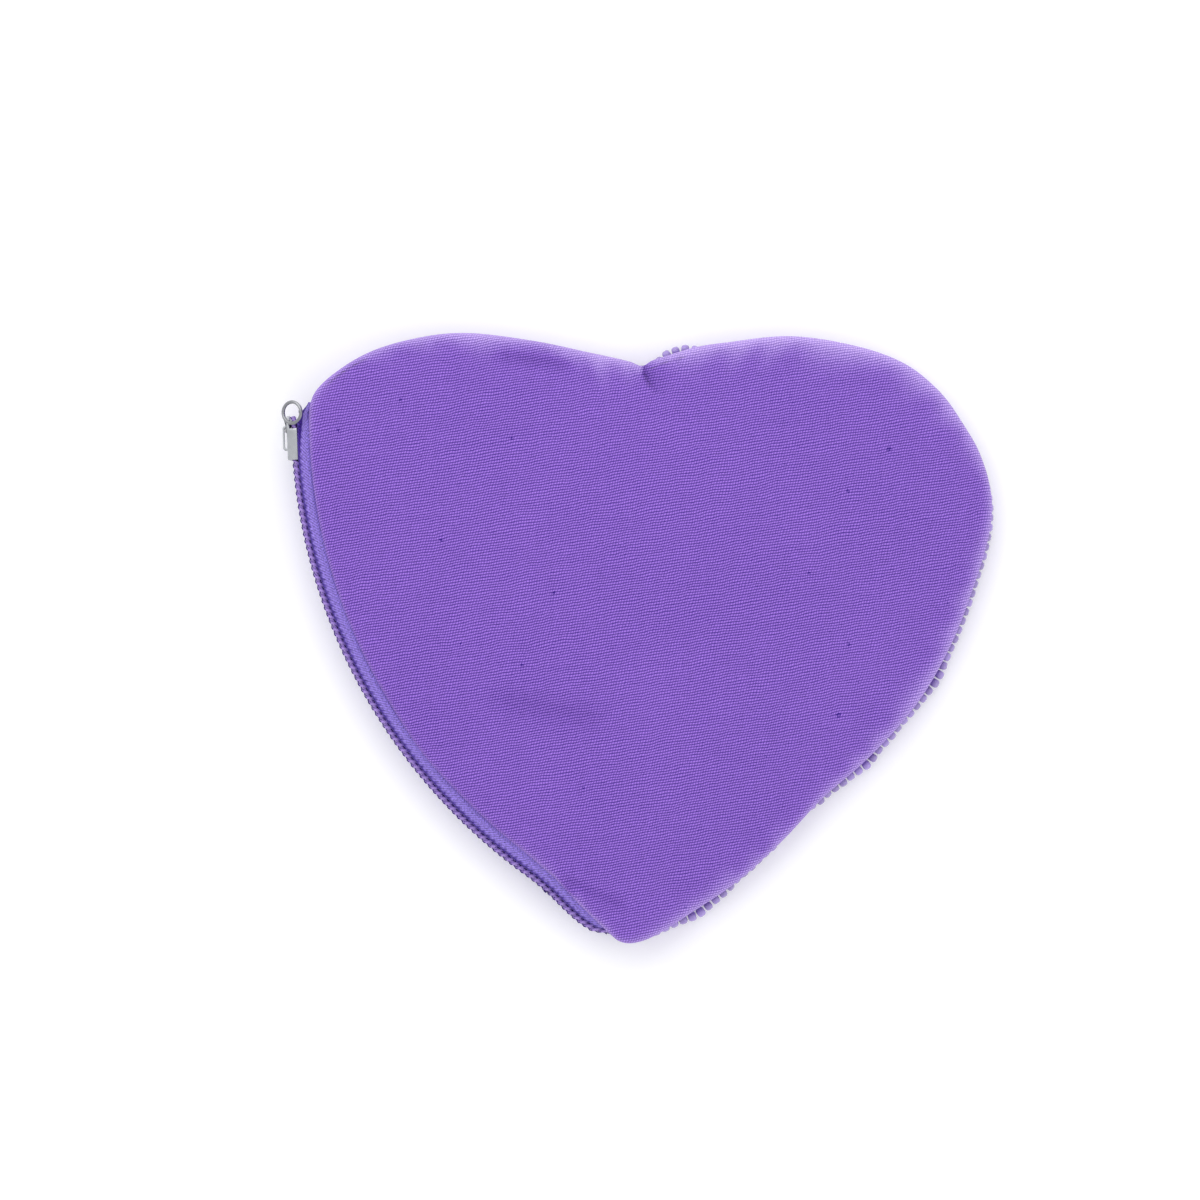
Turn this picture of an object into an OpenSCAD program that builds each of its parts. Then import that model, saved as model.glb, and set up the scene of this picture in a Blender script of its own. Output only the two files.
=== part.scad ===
// Heart shaped purse, lying on its beaded front with its padded cloth back up.
// A coil zip is let into the left side between the two panels. The heart's tip
// points to -Y, and the table is at z = 0.

/* [Heart] */
// Width of the back panel over both lobes
heart_w = 134; // [120:1:150]
// Height of the back panel from its lobes to its tip
heart_h = 116; // [104:1:130]
// Height of the crown of the back panel above the table
crown_z = 14.7; // [14:0.1:20]

/* [Cloth and padding] */
// Thickness of the woven cloth of both panels
cloth_t = 0.35; // [0.2:0.05:0.5]
// Thickness of the padding behind the back panel
back_pad_t = 1.6; // [1:0.1:2]
// Thickness of the padding behind the beaded front
front_pad_t = 0.9; // [0.8:0.1:1.4]
// Thickness of the lining
lining_t = 0.25; // [0.15:0.05:0.4]
// Width of the cloth turned under along the edge of the back panel
hem_w = 1.5; // [1:0.1:1.7]
// Width of the seam allowance between the two panels
allowance_w = 1.5; // [1:0.1:2]

/* [Beads] */
// Diameter of a seed bead
bead_d = 1.8; // [1.5:0.1:2]
// Length of a seed bead along its thread
bead_l = 1.55; // [1.2:0.05:1.7]
// Diameter of the hole through a bead
bead_hole_d = 0.7; // [0.4:0.1:0.9]
// Distance between neighbouring beads on their thread
bead_pitch = 1.85; // [1.8:0.05:2.2]
// Distance between neighbouring rows
row_pitch = 1.95; // [1.9:0.05:2.2]

/* [Zip] */
// Distance between the turns of each coil
coil_pitch = 1.31; // [1.25:0.01:1.5]
// Diameter of the coil's wire
coil_wire_d = 0.48; // [0.4:0.02:0.5]
// Width of the closed chain over both coils
chain_w = 4.2; // [4:0.1:4.6]
// Thickness of the chain
chain_t = 1.5; // [1.4:0.05:1.6]
// How far the heads of the two coils reach past each other
mesh_w = 0.7; // [0.5:0.05:0.8]
// Thickness of the zip tape
tape_t = 0.35; // [0.25:0.05:0.4]
// Width of bare tape that shows between the chain and the panel
strip_w = 2.9; // [2.6:0.1:3.4]
// Length of the closed chain past the point where the slider stops
tail_l = 15; // [12:0.5:18]

/* [Slider] */
// Length of the slider along the chain
slider_l = 8.4; // [8:0.1:9]
// Width of the slider over its shoulders
slider_w = 6.8; // [6.7:0.1:7.2]
// Width of the slider over its tail
slider_tail_w = 5.5; // [5.4:0.1:5.8]
// Thickness of the slider's outer plate
plate_t = 0.55; // [0.4:0.05:0.7]
// Thickness of the slider's inner plate
inner_plate_t = 0.5; // [0.4:0.05:0.6]
// Width of the bridge's strap
bridge_w = 1.2; // [0.8:0.1:1.3]
// Length of the bridge
bridge_l = 4.8; // [4.6:0.1:5.2]
// Height of the opening under the bridge
bridge_open_h = 0.6; // [0.55:0.05:0.9]
// Thickness of the bridge's strap
bridge_t = 0.35; // [0.3:0.05:0.5]

/* [Pull] */
// Diameter of the pull ring over its wire
ring_d = 4.66; // [4.2:0.02:5]
// Diameter of the ring's wire
ring_wire_d = 0.66; // [0.5:0.02:0.7]
// Diameter of the eye round the bridge's leg, over its wire
eye_d = 2.36; // [2.3:0.02:2.5]
// Diameter of the eye's wire
eye_wire_d = 0.36; // [0.3:0.02:0.4]

/* [Hidden] */

// Shared gaps and the overrun of every cut
ply_gap = 0.1;
overrun = 1;
weld_l = 0.02;

// Outline of the back panel past the zip, from the zip's lower end round the tip, the
// right lobe, the cleft and the left lobe to the zip's upper end. Each row holds the
// place as shares of half the width and half the height, then how much of the zip side's
// height the panel's top and the panel's lower edge keep there.
edge_shares = [
    [-0.148, -0.886, 1.00, 1.0], [-0.084, -0.962, 0.94, 1.0], [-0.054, -0.989, 0.80, 0.5],
    [-0.014, -0.994, 0.62, 0.0], [0.043, -0.972, 0.42, 0.0], [0.131, -0.910, 0.16, 0.0],
    [0.307, -0.760, 0.00, 0.0], [0.481, -0.557, 0.00, 0.0], [0.642, -0.400, 0.00, 0.0],
    [0.784, -0.219, 0.00, 0.0], [0.883, -0.022, 0.00, 0.0], [0.949, 0.174, 0.00, 0.0],
    [0.991, 0.340, 0.00, 0.0], [0.997, 0.469, 0.00, 0.0], [0.966, 0.600, 0.00, 0.0],
    [0.915, 0.705, 0.00, 0.0], [0.852, 0.805, 0.00, 0.0], [0.752, 0.898, 0.00, 0.0],
    [0.610, 0.957, 0.00, 0.0], [0.427, 0.988, 0.00, 0.0], [0.242, 0.967, 0.00, 0.0],
    [0.115, 0.948, 0.00, 0.0], [0.043, 0.921, 0.00, 0.0], [0.007, 0.895, 0.00, 0.0],
    [-0.033, 0.907, 0.00, 0.0], [-0.140, 0.934, 0.00, 0.0], [-0.310, 0.974, 0.04, 0.0],
    [-0.503, 0.998, 0.14, 0.0], [-0.666, 0.971, 0.36, 0.0], [-0.807, 0.914, 0.66, 0.0],
    [-0.900, 0.829, 0.90, 0.0]
];
// Upper and lower end of the zip's arc on the panel's edge, and its bulge to its chord
zip_top_share = [-0.9312, 0.7426];
zip_end_share = [-0.2376, -0.7672];
zip_bulge_share = 0.1276;
// Where the rings of the padded panels run together
hub_share = [0, 0.1];
// Rings between the hub and the edge, and how steeply the crown falls towards the edge
ring_shares = [0.35, 0.65, 0.9];
fall_share = 2.5;
// The rolled edge of the back panel: inset in hem widths and height of the side
roll_shares = [[0.4, 0.88], [0, 0.5], [0, 0.12]];

half_w = heart_w / 2;
half_h = heart_h / 2;
hub = [hub_share.x * half_w, hub_share.y * half_h];

// Heights, from the table up
ground_z = bead_d + ply_gap;
front_pad_z = ground_z + cloth_t + ply_gap;
front_lining_z = front_pad_z + front_pad_t + ply_gap;
seam_top_z = front_lining_z + lining_t;
slot_clear = 0.15;
tape_lean = 0.65;
fold_half = slider_w / 2 + slot_clear;
front_flange_z = front_pad_z + front_pad_t / 2;
zip_z = front_flange_z + tape_lean + fold_half;
flange_top_z = zip_z + fold_half + tape_lean;
// Foot of the back stack, which is the underside of the lining
foot_zip_z = flange_top_z - tape_t - ply_gap - lining_t;
foot_seam_z = seam_top_z + 2 * ply_gap;
pad_rise = lining_t + tape_t + 2 * ply_gap;
cloth_rise = pad_rise + back_pad_t + ply_gap;
stack_t = cloth_rise + cloth_t;
foot_crown_z = crown_z - stack_t;
low_zip_z = flange_top_z + slot_clear;
low_seam_z = foot_seam_z + ply_gap;

// Circle of the zip, through both ends of the arc
zip_top = [zip_top_share.x * half_w, zip_top_share.y * half_h];
zip_end = [zip_end_share.x * half_w, zip_end_share.y * half_h];
chord = zip_end - zip_top;
chord_l = norm(chord);
chord_dir = chord / chord_l;
chord_out = [chord_dir.y, -chord_dir.x];
bulge_h = zip_bulge_share * chord_l;
panel_r = chord_l * chord_l / bulge_h / 8 + bulge_h / 2;
chain_r = panel_r + strip_w;
arc_centre = (zip_top + zip_end) / 2 + (bulge_h - panel_r) * chord_out;
function turned(v) = let (a = atan2(v.y, v.x)) a < 0 ? a + 360 : a;
top_az = turned(zip_top - arc_centre);
end_az = turned(zip_end - arc_centre);
arc_l = (end_az - top_az) * PI / 180 * chain_r;

// Lengths along the chain, from the arc's upper end
slider_gap = 1;
slider_rest_l = slider_gap + slider_l / 2;
slider_stop_l = arc_l - slider_rest_l;
chain_start_l = slider_gap + slot_clear;
lip_gap_l = slider_gap;
first_lip_turn = ceil((slider_rest_l + slider_l / 2 + lip_gap_l) / coil_pitch);
last_lip_turn = floor((slider_stop_l - slider_l / 2 - lip_gap_l) / coil_pitch) - 1;
first_turn = ceil(chain_start_l / coil_pitch);
last_turn = floor((arc_l + tail_l) / coil_pitch) - 1;

// The flap of the back panel turns about the chord, at the top of the cloth over the zip
lip_angle = 45;
hinge_z = foot_zip_z + stack_t;
hinge_gap = (crown_z - hinge_z) * tan(lip_angle / 2) + ply_gap;
echo(arc_centre = arc_centre, top_az = top_az, end_az = end_az, arc_l = arc_l);
echo(hinge_from = [zip_top.x, zip_top.y, hinge_z], hinge_dir = chord_dir);
echo(slider_rest_az = top_az + az_of(slider_rest_l), slider_stop_az = top_az + az_of(slider_stop_l));
echo(least_gap_between_turns = coil_pitch - coil_wire_d);

function az_of(l) = l / chain_r * 180 / PI;
function on_arc(r, a) = arc_centre + r * [cos(a), sin(a)];
function mix(a, b, t) = a + (b - a) * t;
function sum_to(v, n) = n < 0 ? 0 : v[n] + sum_to(v, n - 1);

// The closed outline of the back panel: the zip's arc, then a smooth curve through the
// shares. Each point is x, y, share of the top's height, share of the lower edge's height.
arc_steps = 12;
arc_points = [for (i = [0:arc_steps])
    let (p = on_arc(panel_r, mix(top_az, end_az, i / arc_steps))) [p.x, p.y, 1, 1]];
hand_points = [for (e = edge_shares) [e[0] * half_w, e[1] * half_h, e[2], e[3]]];
knots = concat(
    [arc_points[arc_steps - 1], arc_points[arc_steps]], hand_points,
    [arc_points[0], arc_points[1]]
);
function between(a, b, c, d) = (9 * (b + c) - a - d) / 16;
function kept(p) = [p[0], p[1], min(max(p[2], 0), 1), min(max(p[3], 0), 1)];
past_zip = [for (i = [1:len(knots) - 3])
    each (i < len(knots) - 3
        ? [kept(between(knots[i - 1], knots[i], knots[i + 1], knots[i + 2])), knots[i + 1]]
        : [kept(between(knots[i - 1], knots[i], knots[i + 1], knots[i + 2]))])];
edge = concat(arc_points, past_zip);
edge_n = len(edge);

// A closed or open line moved sideways by d, inwards where d is positive
function flat(p) = [p[0], p[1]];
function side_dir(line, i, n) =
    let (t = flat(line[(i + 1) % n]) - flat(line[(i + n - 1) % n]), u = t / norm(t)) [-u.y, u.x];
function off_segment(p, a, b) =
    let (v = b - a, t = min(max((p - a) * v / (v * v), 0), 1)) norm(p - a - t * v);
function room_at(p, line) = let (n = len(line))
    min([for (i = [0:n - 1]) off_segment(p, flat(line[i]), flat(line[(i + 1) % n]))]);
// Points that a sharp corner would carry past each other are left out
function inset_line(line, d, least_share) =
    [for (i = [0:len(line) - 1])
        let (p = flat(line[i]) + d * side_dir(line, i, len(line)))
            if (room_at(p, line) > d * least_share) p];
ply_share = 0.985;
row_share = 0.88;

// The beaded front sits a little lower and further right than the back, so that its
// outer beads show past the lower right edge.
front_shift = [0.5, -1.1];
front_edge = [for (p = edge) flat(p) + front_shift];
outer_row_in = 0.75;
second_row_in = outer_row_in + row_pitch;
field_in = second_row_in + row_pitch / 2 + ply_gap;
outer_row_z = bead_d;
second_row_z = bead_d / 2 + ply_gap;
ground_in = outer_row_in + bead_d / 2 + 2 * ply_gap;
front_inner_in = ground_in + allowance_w + ply_gap;
// Padding stays off the zip's tape, which is sewn in between the plies
flange_l = 3.4;

// Point lists joined into one closed skin of rings, with a pole at each end
module ring_skin(rings, first_pole, last_pole) {
    n = len(rings[0]);
    count = len(rings);
    points = concat([first_pole], [for (r = rings) each r], [last_pole]);
    last = len(points) - 1;
    faces = concat(
        [for (i = [0:n - 1]) [0, 1 + i, 1 + (i + 1) % n]],
        [for (k = [0:count - 2], i = [0:n - 1])
            let (a = 1 + k * n + i, b = 1 + k * n + (i + 1) % n) each [[a, a + n, b + n], [a, b + n, b]]],
        [for (i = [0:n - 1]) [last, last - n + (i + 1) % n, last - n + i]]
    );
    polyhedron(points = points, faces = [for (f = faces) [f[2], f[1], f[0]]], convexity = 6);
}

// Foot of the back stack at a share of the way from the hub to edge point e
function foot_z(e, share) = mix(
    mix(foot_seam_z, foot_zip_z, e[2]), foot_crown_z, 1 - pow(share, fall_share));
function reach(e) = norm(flat(e) - hub);
function share_at(e, inset) = 1 - inset / reach(e);
function spot(e, share, z) = let (p = mix(hub, flat(e), share)) [p.x, p.y, z];
function dome_ring(share, rise) = [for (e = edge) spot(e, share, foot_z(e, share) + rise)];
function inset_ring(inset, rise) =
    [for (e = edge) let (s = share_at(e, inset)) spot(e, s, foot_z(e, s) + rise)];
function low_z(e) = mix(low_seam_z, low_zip_z, e[3]);
function side_z(e, share) = mix(low_z(e), foot_z(e, 1) + stack_t, share);
function side_ring(inset, share, rise) =
    [for (e = edge) spot(e, share_at(e, inset), side_z(e, share) + rise)];
function hub_point(rise) = [hub.x, hub.y, foot_crown_z + rise];

// A ply of even thickness, from the hub to an inset from the edge
module dome_ply(rise, thick, inset) {
    top = rise + thick;
    top_rings = [for (s = ring_shares) dome_ring(s, top)];
    foot_rings = [for (i = [len(ring_shares) - 1:-1:0]) dome_ring(ring_shares[i], rise)];
    ring_skin(
        concat(top_rings, [inset_ring(inset, top), inset_ring(inset, rise)], foot_rings),
        hub_point(top), hub_point(rise)
    );
}

// The cloth of the back panel, rolled over its side and turned under by the hem
module back_cloth() {
    top_in = hem_w + 2 * ply_gap;
    outside = [for (r = roll_shares) side_ring(r[0] * hem_w, r[1], 0)];
    inside = [for (i = [len(roll_shares) - 1:-1:0])
        side_ring(roll_shares[i][0] * hem_w + cloth_t, roll_shares[i][1], i > 1 ? cloth_t / 2 : 0)];
    hem = [
        side_ring(cloth_t, 0, 0), side_ring(hem_w, 0, 0), side_ring(hem_w, 0, cloth_t)
    ];
    ring_skin(
        concat(
            [for (s = ring_shares) dome_ring(s, stack_t)], [inset_ring(top_in, stack_t)],
            outside, hem, inside, [inset_ring(top_in + cloth_t, cloth_rise)],
            [for (i = [len(ring_shares) - 1:-1:0]) dome_ring(ring_shares[i], cloth_rise)]
        ),
        hub_point(stack_t), hub_point(cloth_rise)
    );
}

// Everything on the zip's side of the fold line, moved by d towards the zip
module fold_side(d) {
    across = heart_w;
    start = zip_top - across * chord_dir + d * chord_out;
    translate([start.x, start.y, -overrun])
        rotate([0, 0, atan2(chord_out.y, chord_out.x)])
            cube([across, 3 * across, crown_z + 3 * overrun]);
}

module back_panel() {
    color("#8460C3") difference() {
        back_cloth();
        fold_side(-hinge_gap);
    }
}

module lip_panel() {
    color("#8A66C8") intersection() {
        back_cloth();
        fold_side(hinge_gap);
    }
}

padding_in = hem_w + 4 * ply_gap;

module back_padding() {
    color("#F1EEE6") difference() {
        dome_ply(pad_rise, back_pad_t - cloth_t, padding_in);
        fold_side(-hinge_gap);
    }
}

module lip_padding() {
    color("#F1EEE6") intersection() {
        dome_ply(pad_rise, back_pad_t - cloth_t, padding_in);
        fold_side(hinge_gap);
    }
}

module back_lining() {
    color("#9A86C4") difference() {
        dome_ply(0, lining_t, padding_in);
        fold_side(-hinge_gap);
    }
}

module lip_lining() {
    color("#9A86C4") intersection() {
        dome_ply(0, lining_t, padding_in);
        fold_side(hinge_gap);
    }
}

// A flat ply of the front, inset from the front's edge
module flat_ply(inset, z, thick) {
    translate([0, 0, z]) linear_extrude(thick) polygon(inset_line(front_edge, inset, ply_share));
}

module front_panel() {
    color("#7A58B4") flat_ply(ground_in, ground_z, cloth_t);
}

module front_padding() {
    color("#F1EEE6") difference() {
        flat_ply(front_inner_in, front_pad_z, front_pad_t);
        translate([arc_centre.x, arc_centre.y, front_pad_z - overrun])
            rotate([0, 0, top_az - az_of(slider_l)])
                rotate_extrude(angle = end_az - top_az + 3 * az_of(slider_l))
                    translate([panel_r - flange_l - hem_w, 0])
                        square([heart_w / 2, front_pad_t + 2 * overrun]);
    }
}

module front_lining() {
    color("#9A86C4") flat_ply(front_inner_in, front_lining_z, lining_t);
}

// The cut edges of both panels, sewn together all round except along the zip
seam_first = 5;
past_edge_share = 1.3;
module seam_allowance() {
    past_zip = edge_n + arc_steps + 1 + 2 * seam_first;
    tall = seam_top_z - front_pad_z;
    color("#6F4FA8") difference() {
        flat_ply(ground_in, front_pad_z, tall);
        flat_ply(front_inner_in - ply_gap, front_pad_z - overrun, tall + 2 * overrun);
        translate([0, 0, front_pad_z - overrun]) linear_extrude(tall + 2 * overrun) polygon(concat(
            [hub], [for (i = [edge_n - 1:past_zip]) mix(hub, flat(edge[i % edge_n]), past_edge_share)]
        ));
    }
}

// The beaded field, with a rib for each row of beads across it
rib_crest_share = 0.17;
rib_flank_share = 0.35;
rib_flank_z = 0.14 * bead_d;
rib_valley_z = 0.5 * bead_d;
module bead_field() {
    rows = ceil(half_h / row_pitch);
    crest = rib_crest_share * bead_d;
    flank = rib_flank_share * bead_d;
    ribs = [for (k = [-rows:rows]) let (y = k * row_pitch) each [
        [y - row_pitch / 2, rib_valley_z], [y - flank, rib_flank_z], [y - crest, 0],
        [y + crest, 0], [y + flank, rib_flank_z]
    ]];
    end_y = (rows + 1 / 2) * row_pitch;
    color("#A48DD0") intersection() {
        flat_ply(field_in, 0, bead_d);
        rotate([90, 0, 90]) translate([0, 0, -heart_w]) linear_extrude(2 * heart_w)
            polygon(concat(ribs, [[end_y, rib_valley_z], [end_y, bead_d], [-end_y, bead_d]]));
    }
}

// One seed bead on a thread along X
module seed_bead() {
    bevel = bead_d / 7;
    rotate([0, 90, 0]) rotate_extrude() polygon([
        [bead_hole_d / 2, -bead_l / 2], [bead_d / 2 - bevel, -bead_l / 2],
        [bead_d / 2, bevel - bead_l / 2], [bead_d / 2, bead_l / 2 - bevel],
        [bead_d / 2 - bevel, bead_l / 2], [bead_hole_d / 2, bead_l / 2]
    ]);
}

// Beads spaced evenly along a closed line
module bead_row(inset, z) {
    line = inset_line(front_edge, inset, row_share);
    n = len(line);
    steps = [for (i = [0:n - 1]) norm(line[(i + 1) % n] - line[i])];
    run = [for (i = 0, l = 0; i <= n; l = l + (i < n ? steps[i] : 0), i = i + 1) l];
    x_at = [for (i = [0:n]) [run[i], line[i % n].x]];
    y_at = [for (i = [0:n]) [run[i], line[i % n].y]];
    count = floor(run[n] / bead_pitch);
    for (k = [0:count - 1]) {
        l = run[n] * (k + 0.5) / count;
        ahead = min(l + bead_l / 2, run[n]);
        behind = max(l - bead_l / 2, 0);
        dx = lookup(ahead, x_at) - lookup(behind, x_at);
        dy = lookup(ahead, y_at) - lookup(behind, y_at);
        translate([lookup(l, x_at), lookup(l, y_at), z]) rotate([0, 0, atan2(dy, dx)]) seed_bead();
    }
}

module bead_row_outer() {
    color("#A48DD0") bead_row(outer_row_in, outer_row_z);
}

module bead_row_second() {
    color("#9C84CC") bead_row(second_row_in, second_row_z);
}

// The chain's path at length l: along the arc, then along a curve to the heart's tip.
// Gives x, y and the outward direction.
tail_from = on_arc(chain_r, end_az);
tail_dir = [-sin(end_az), cos(end_az)];
tail_out = [cos(end_az), sin(end_az)];
tail_turn_share = 0.15;
function chain_at(l) =
    l <= arc_l
        ? let (a = top_az + az_of(l), p = on_arc(chain_r, a)) [p.x, p.y, cos(a), sin(a)]
        : let (
            past = l - arc_l, bend = tail_turn_share * past * past / tail_l,
            p = tail_from + past * tail_dir + bend * tail_out,
            t = tail_dir + 2 * tail_turn_share * past / tail_l * tail_out, u = t / norm(t)
        ) [p.x, p.y, u.y, -u.x];
// A place at length l, o outwards from the chain's middle, at height z
function by_chain(l, o, z) = let (c = chain_at(l)) [c[0] + o * c[2], c[1] + o * c[3], z];

// A closed profile carried along the chain, one profile for each length. The profile goes
// out along one face and back along the other, so each end closes with a row of quads.
module chain_sweep(lengths, profiles) {
    n = len(profiles[0]);
    count = len(lengths);
    points = [for (k = [0:count - 1], p = profiles[k]) by_chain(lengths[k], p.x, p.y)];
    faces = concat(
        [for (i = [0:n / 2 - 2]) [n - 1 - i, n - 2 - i, i + 1, i]],
        [for (i = [0:n / 2 - 2]) [for (j = [i, i + 1, n - 2 - i, n - 1 - i]) (count - 1) * n + j]],
        [for (k = [0:count - 2], i = [0:n - 1])
            let (a = k * n + i, b = k * n + (i + 1) % n) each [[a, b, b + n], [a, b + n, a + n]]]
    );
    polyhedron(points = points, faces = faces, convexity = 4);
}

// Tape profile: up behind the coil, over the slider's edge, then in to the panel. side is
// 1 for the back's tape and -1 for the front's, inner_o is where it ends.
tape_out = -chain_t / 2 - slot_clear / 3;
tape_edge = 0.45;
function tape_z(side, z) = zip_z + side * z;
function tape_profile(side, fold_o, inner_o, rise) = let (
    points = [
        [tape_out, tape_edge], [tape_out, fold_half], [fold_o, fold_half + tape_lean],
        [inner_o, fold_half + tape_lean + rise],
        [inner_o, fold_half + tape_lean - tape_t + rise], [fold_o, fold_half + tape_lean - tape_t],
        [tape_out - tape_t, fold_half - tape_t / 2], [tape_out - tape_t, tape_edge]
    ],
    placed = [for (p = points) [p.x, tape_z(side, p.y)]]
) side > 0 ? placed : [for (i = [len(placed) - 1:-1:0]) placed[i]];
tape_step = 4;
function stations(from, to) = let (count = ceil((to - from) / tape_step))
    [for (i = [0:count]) mix(from, to, i / count)];
fold_o = -strip_w - ply_gap;
flange_rise = 0.2;

module lip_tape() {
    from = (first_lip_turn - 0.5) * coil_pitch;
    to = (last_lip_turn + 0.5) * coil_pitch;
    lengths = stations(from, to);
    color("#8A78D8") chain_sweep(lengths,
        [for (l = lengths) tape_profile(1, fold_o, fold_o - flange_l, flange_rise)]);
}

// The strip of an end of the back's tape, which narrows along the tail
function strip_end(l) = mix(fold_o + 3 * ply_gap, tape_out - tape_t - ply_gap,
    min(max((l - arc_l) / tail_l, 0), 1));

module back_tape_ends() {
    from = (first_turn - 0.5) * coil_pitch;
    to = (last_turn + 0.5) * coil_pitch;
    upper = stations(from, (first_lip_turn - 0.5) * coil_pitch - 2 * ply_gap);
    lower = stations((last_lip_turn + 0.5) * coil_pitch + 2 * ply_gap, to);
    color("#8A78D8") for (lengths = [upper, lower])
        chain_sweep(lengths,
            [for (l = lengths) tape_profile(1, strip_end(l) + ply_gap, strip_end(l), 0)]);
}

module front_tape() {
    lengths = stations((first_turn - 0.5) * coil_pitch, (last_turn + 0.5) * coil_pitch);
    color("#8A78D8") chain_sweep(lengths,
        [for (l = lengths)
            let (in = strip_end(l)) tape_profile(-1, in, l > arc_l ? in - ply_gap : in - flange_l, 0)]);
}

// How far each coil is parted from the chain's middle inside the slider's wide end
parted_w = 0.75;
parted_l = slider_rest_l - slider_l / 5;
meet_l = slider_rest_l + slider_l / 9;
function parted(l) = let (t = min(max((meet_l - l) / (meet_l - parted_l), 0), 1))
    parted_w * t * t * (3 - 2 * t);

// The coil's wire at angle a, where each whole turn puts a head at the chain's middle. The
// wire stands square to the chain at its head and steps on at its root.
wire_r = coil_wire_d / 2;
loop_half = (chain_w + mesh_w) / 4 - wire_r;
loop_mid = (chain_w - mesh_w) / 4;
loop_depth = chain_t / 2 - wire_r;
step_share = 0.9;
function wire_at(a) = [
    coil_pitch * (a / 360 - step_share * sin(a) / 2 / PI),
    loop_depth * sin(a),
    loop_mid - loop_half * cos(a)
];
rings_a_turn = 6;
wire_sides = 4;
function wire_ring(a, side, shift) = let (
    c = wire_at(a), t = wire_at(a + 1) - wire_at(a - 1), u = t / norm(t),
    out = [0, c[1] / loop_depth, (c[2] - loop_mid) / loop_half],
    flat_out = out - (out * u) * u, v = flat_out / norm(flat_out), w = cross(u, v)
) [for (k = [0:wire_sides - 1])
    let (p = c + wire_r * (cos(k * 360 / wire_sides) * v + sin(k * 360 / wire_sides) * w),
        l = p[0] + shift)
    by_chain(l, p[1], zip_z + side * (p[2] + parted(l)))];

// One unbroken wire from the first turn to the last. The two coils mirror each other, and
// the front's coil stands half a pitch on.
module coil(side, first, last) {
    shift = side > 0 ? 0 : coil_pitch / 2;
    count = (last - first) * rings_a_turn;
    rings = [for (i = [0:count]) wire_ring(360 * (first + i / rings_a_turn), side, shift)];
    points = [for (r = rings, p = r) p];
    n = wire_sides;
    faces = concat(
        [[for (i = [n - 1:-1:0]) i], [for (i = [0:n - 1]) count * n + i]],
        [for (k = [0:count - 1], i = [0:n - 1])
            let (a = k * n + i, b = k * n + (i + 1) % n) each [[a, b, b + n], [a, b + n, a + n]]]
    );
    polyhedron(points = points, faces = side > 0 ? faces : [for (f = faces) [for (i = [len(f) - 1:-1:0]) f[i]]],
        convexity = 10);
}

module lip_coil() {
    color("#8B7BB5") coil(1, first_lip_turn, last_lip_turn);
}

module back_coil_ends() {
    color("#8B7BB5") {
        coil(1, first_turn, first_lip_turn - 1);
        coil(1, last_lip_turn + 1, last_turn);
    }
}

module front_coil() {
    color("#8B7BB5") coil(-1, first_turn, last_turn);
}

// Bars of thread across the chain's two ends, which stop the slider
tack_l = 0.5;
tack_t = 0.3;
module end_tacks() {
    upper = [0, tack_l];
    lower = [arc_l, arc_l + tack_l];
    half = fold_half - tape_t;
    color("#6F4FA8") {
        chain_sweep(upper, [for (l = upper) [
            [tape_out, zip_z + half], [tape_out - tack_t, zip_z + half],
            [tape_out - tack_t, zip_z - half], [tape_out, zip_z - half]
        ]]);
        chain_sweep(lower, [for (l = lower) [
            [chain_t / 2 + ply_gap + tack_t, zip_z + chain_w / 2], [chain_t / 2 + ply_gap, zip_z + chain_w / 2],
            [chain_t / 2 + ply_gap, zip_z - chain_w / 2], [chain_t / 2 + ply_gap + tack_t, zip_z - chain_w / 2]
        ]]);
    }
}

// The slider's own frame: X outwards from the chain, Y along it towards the tail, origin
// at the chain's middle.
module at_slider() {
    c = by_chain(slider_rest_l, 0, zip_z);
    translate(c) rotate([0, 0, top_az + az_of(slider_rest_l)]) children();
}

// Half outline of the slider's plates: place along half the length, then the part of the
// way from the tail's width to the shoulders' width.
plate_shares = [
    [-1, -1.9], [-0.94, -0.3], [-0.78, 0.9], [-0.7, 1], [-0.28, 1], [0.3, 0], [0.9, 0], [1, -0.5]
];
function plate_line(shrink) = let (
    half = [for (p = plate_shares) [
        p[0] * slider_l / 2, mix(slider_tail_w, slider_w, p[1]) / 2 - shrink
    ]]
) concat(half, [for (i = [len(half) - 1:-1:0]) [half[i].x, -half[i].y]]);

// A plate of the slider between two distances out from the chain
module plate(out, thick, shrink) {
    translate([out, 0, 0]) rotate([90, 0, 90]) linear_extrude(thick) polygon(plate_line(shrink));
}

outer_face = chain_t / 2 + slot_clear + plate_t;
flange_in = tape_out + 2 * slot_clear;
inner_face = tape_out - tape_t - slot_clear;
flange_share = 0.42;
wall_t = (slider_tail_w - chain_w) / 2 - slot_clear;

// The two side walls that hold the coils in, left open at the wide end and the tail
module flanges() {
    thick = outer_face - plate_t - flange_in + weld_l;
    difference() {
        plate(flange_in, thick, 0);
        plate(flange_in - overrun, thick + 2 * overrun, wall_t);
        translate([flange_in - overrun, -slider_l, -slider_w])
            cube([thick + 2 * overrun, slider_l - flange_share * slider_l / 2, 2 * slider_w]);
        translate([flange_in - overrun, 0, wall_t - slider_tail_w / 2])
            cube([thick + 2 * overrun, slider_l, slider_tail_w - 2 * wall_t]);
    }
}

// The wedge between the coils, which joins the two plates
wedge_half = 0.3;
wedge_shares = [-0.86, -0.68, -0.46];
module wedge() {
    from = inner_face - weld_l;
    half_l = slider_l / 2;
    translate([from, 0, 0]) rotate([90, 0, 90])
        linear_extrude(outer_face - plate_t - from + weld_l) polygon([
            [wedge_shares[0] * half_l, 0], [wedge_shares[1] * half_l, -wedge_half],
            [wedge_shares[2] * half_l, 0], [wedge_shares[1] * half_l, wedge_half]
        ]);
}

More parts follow.
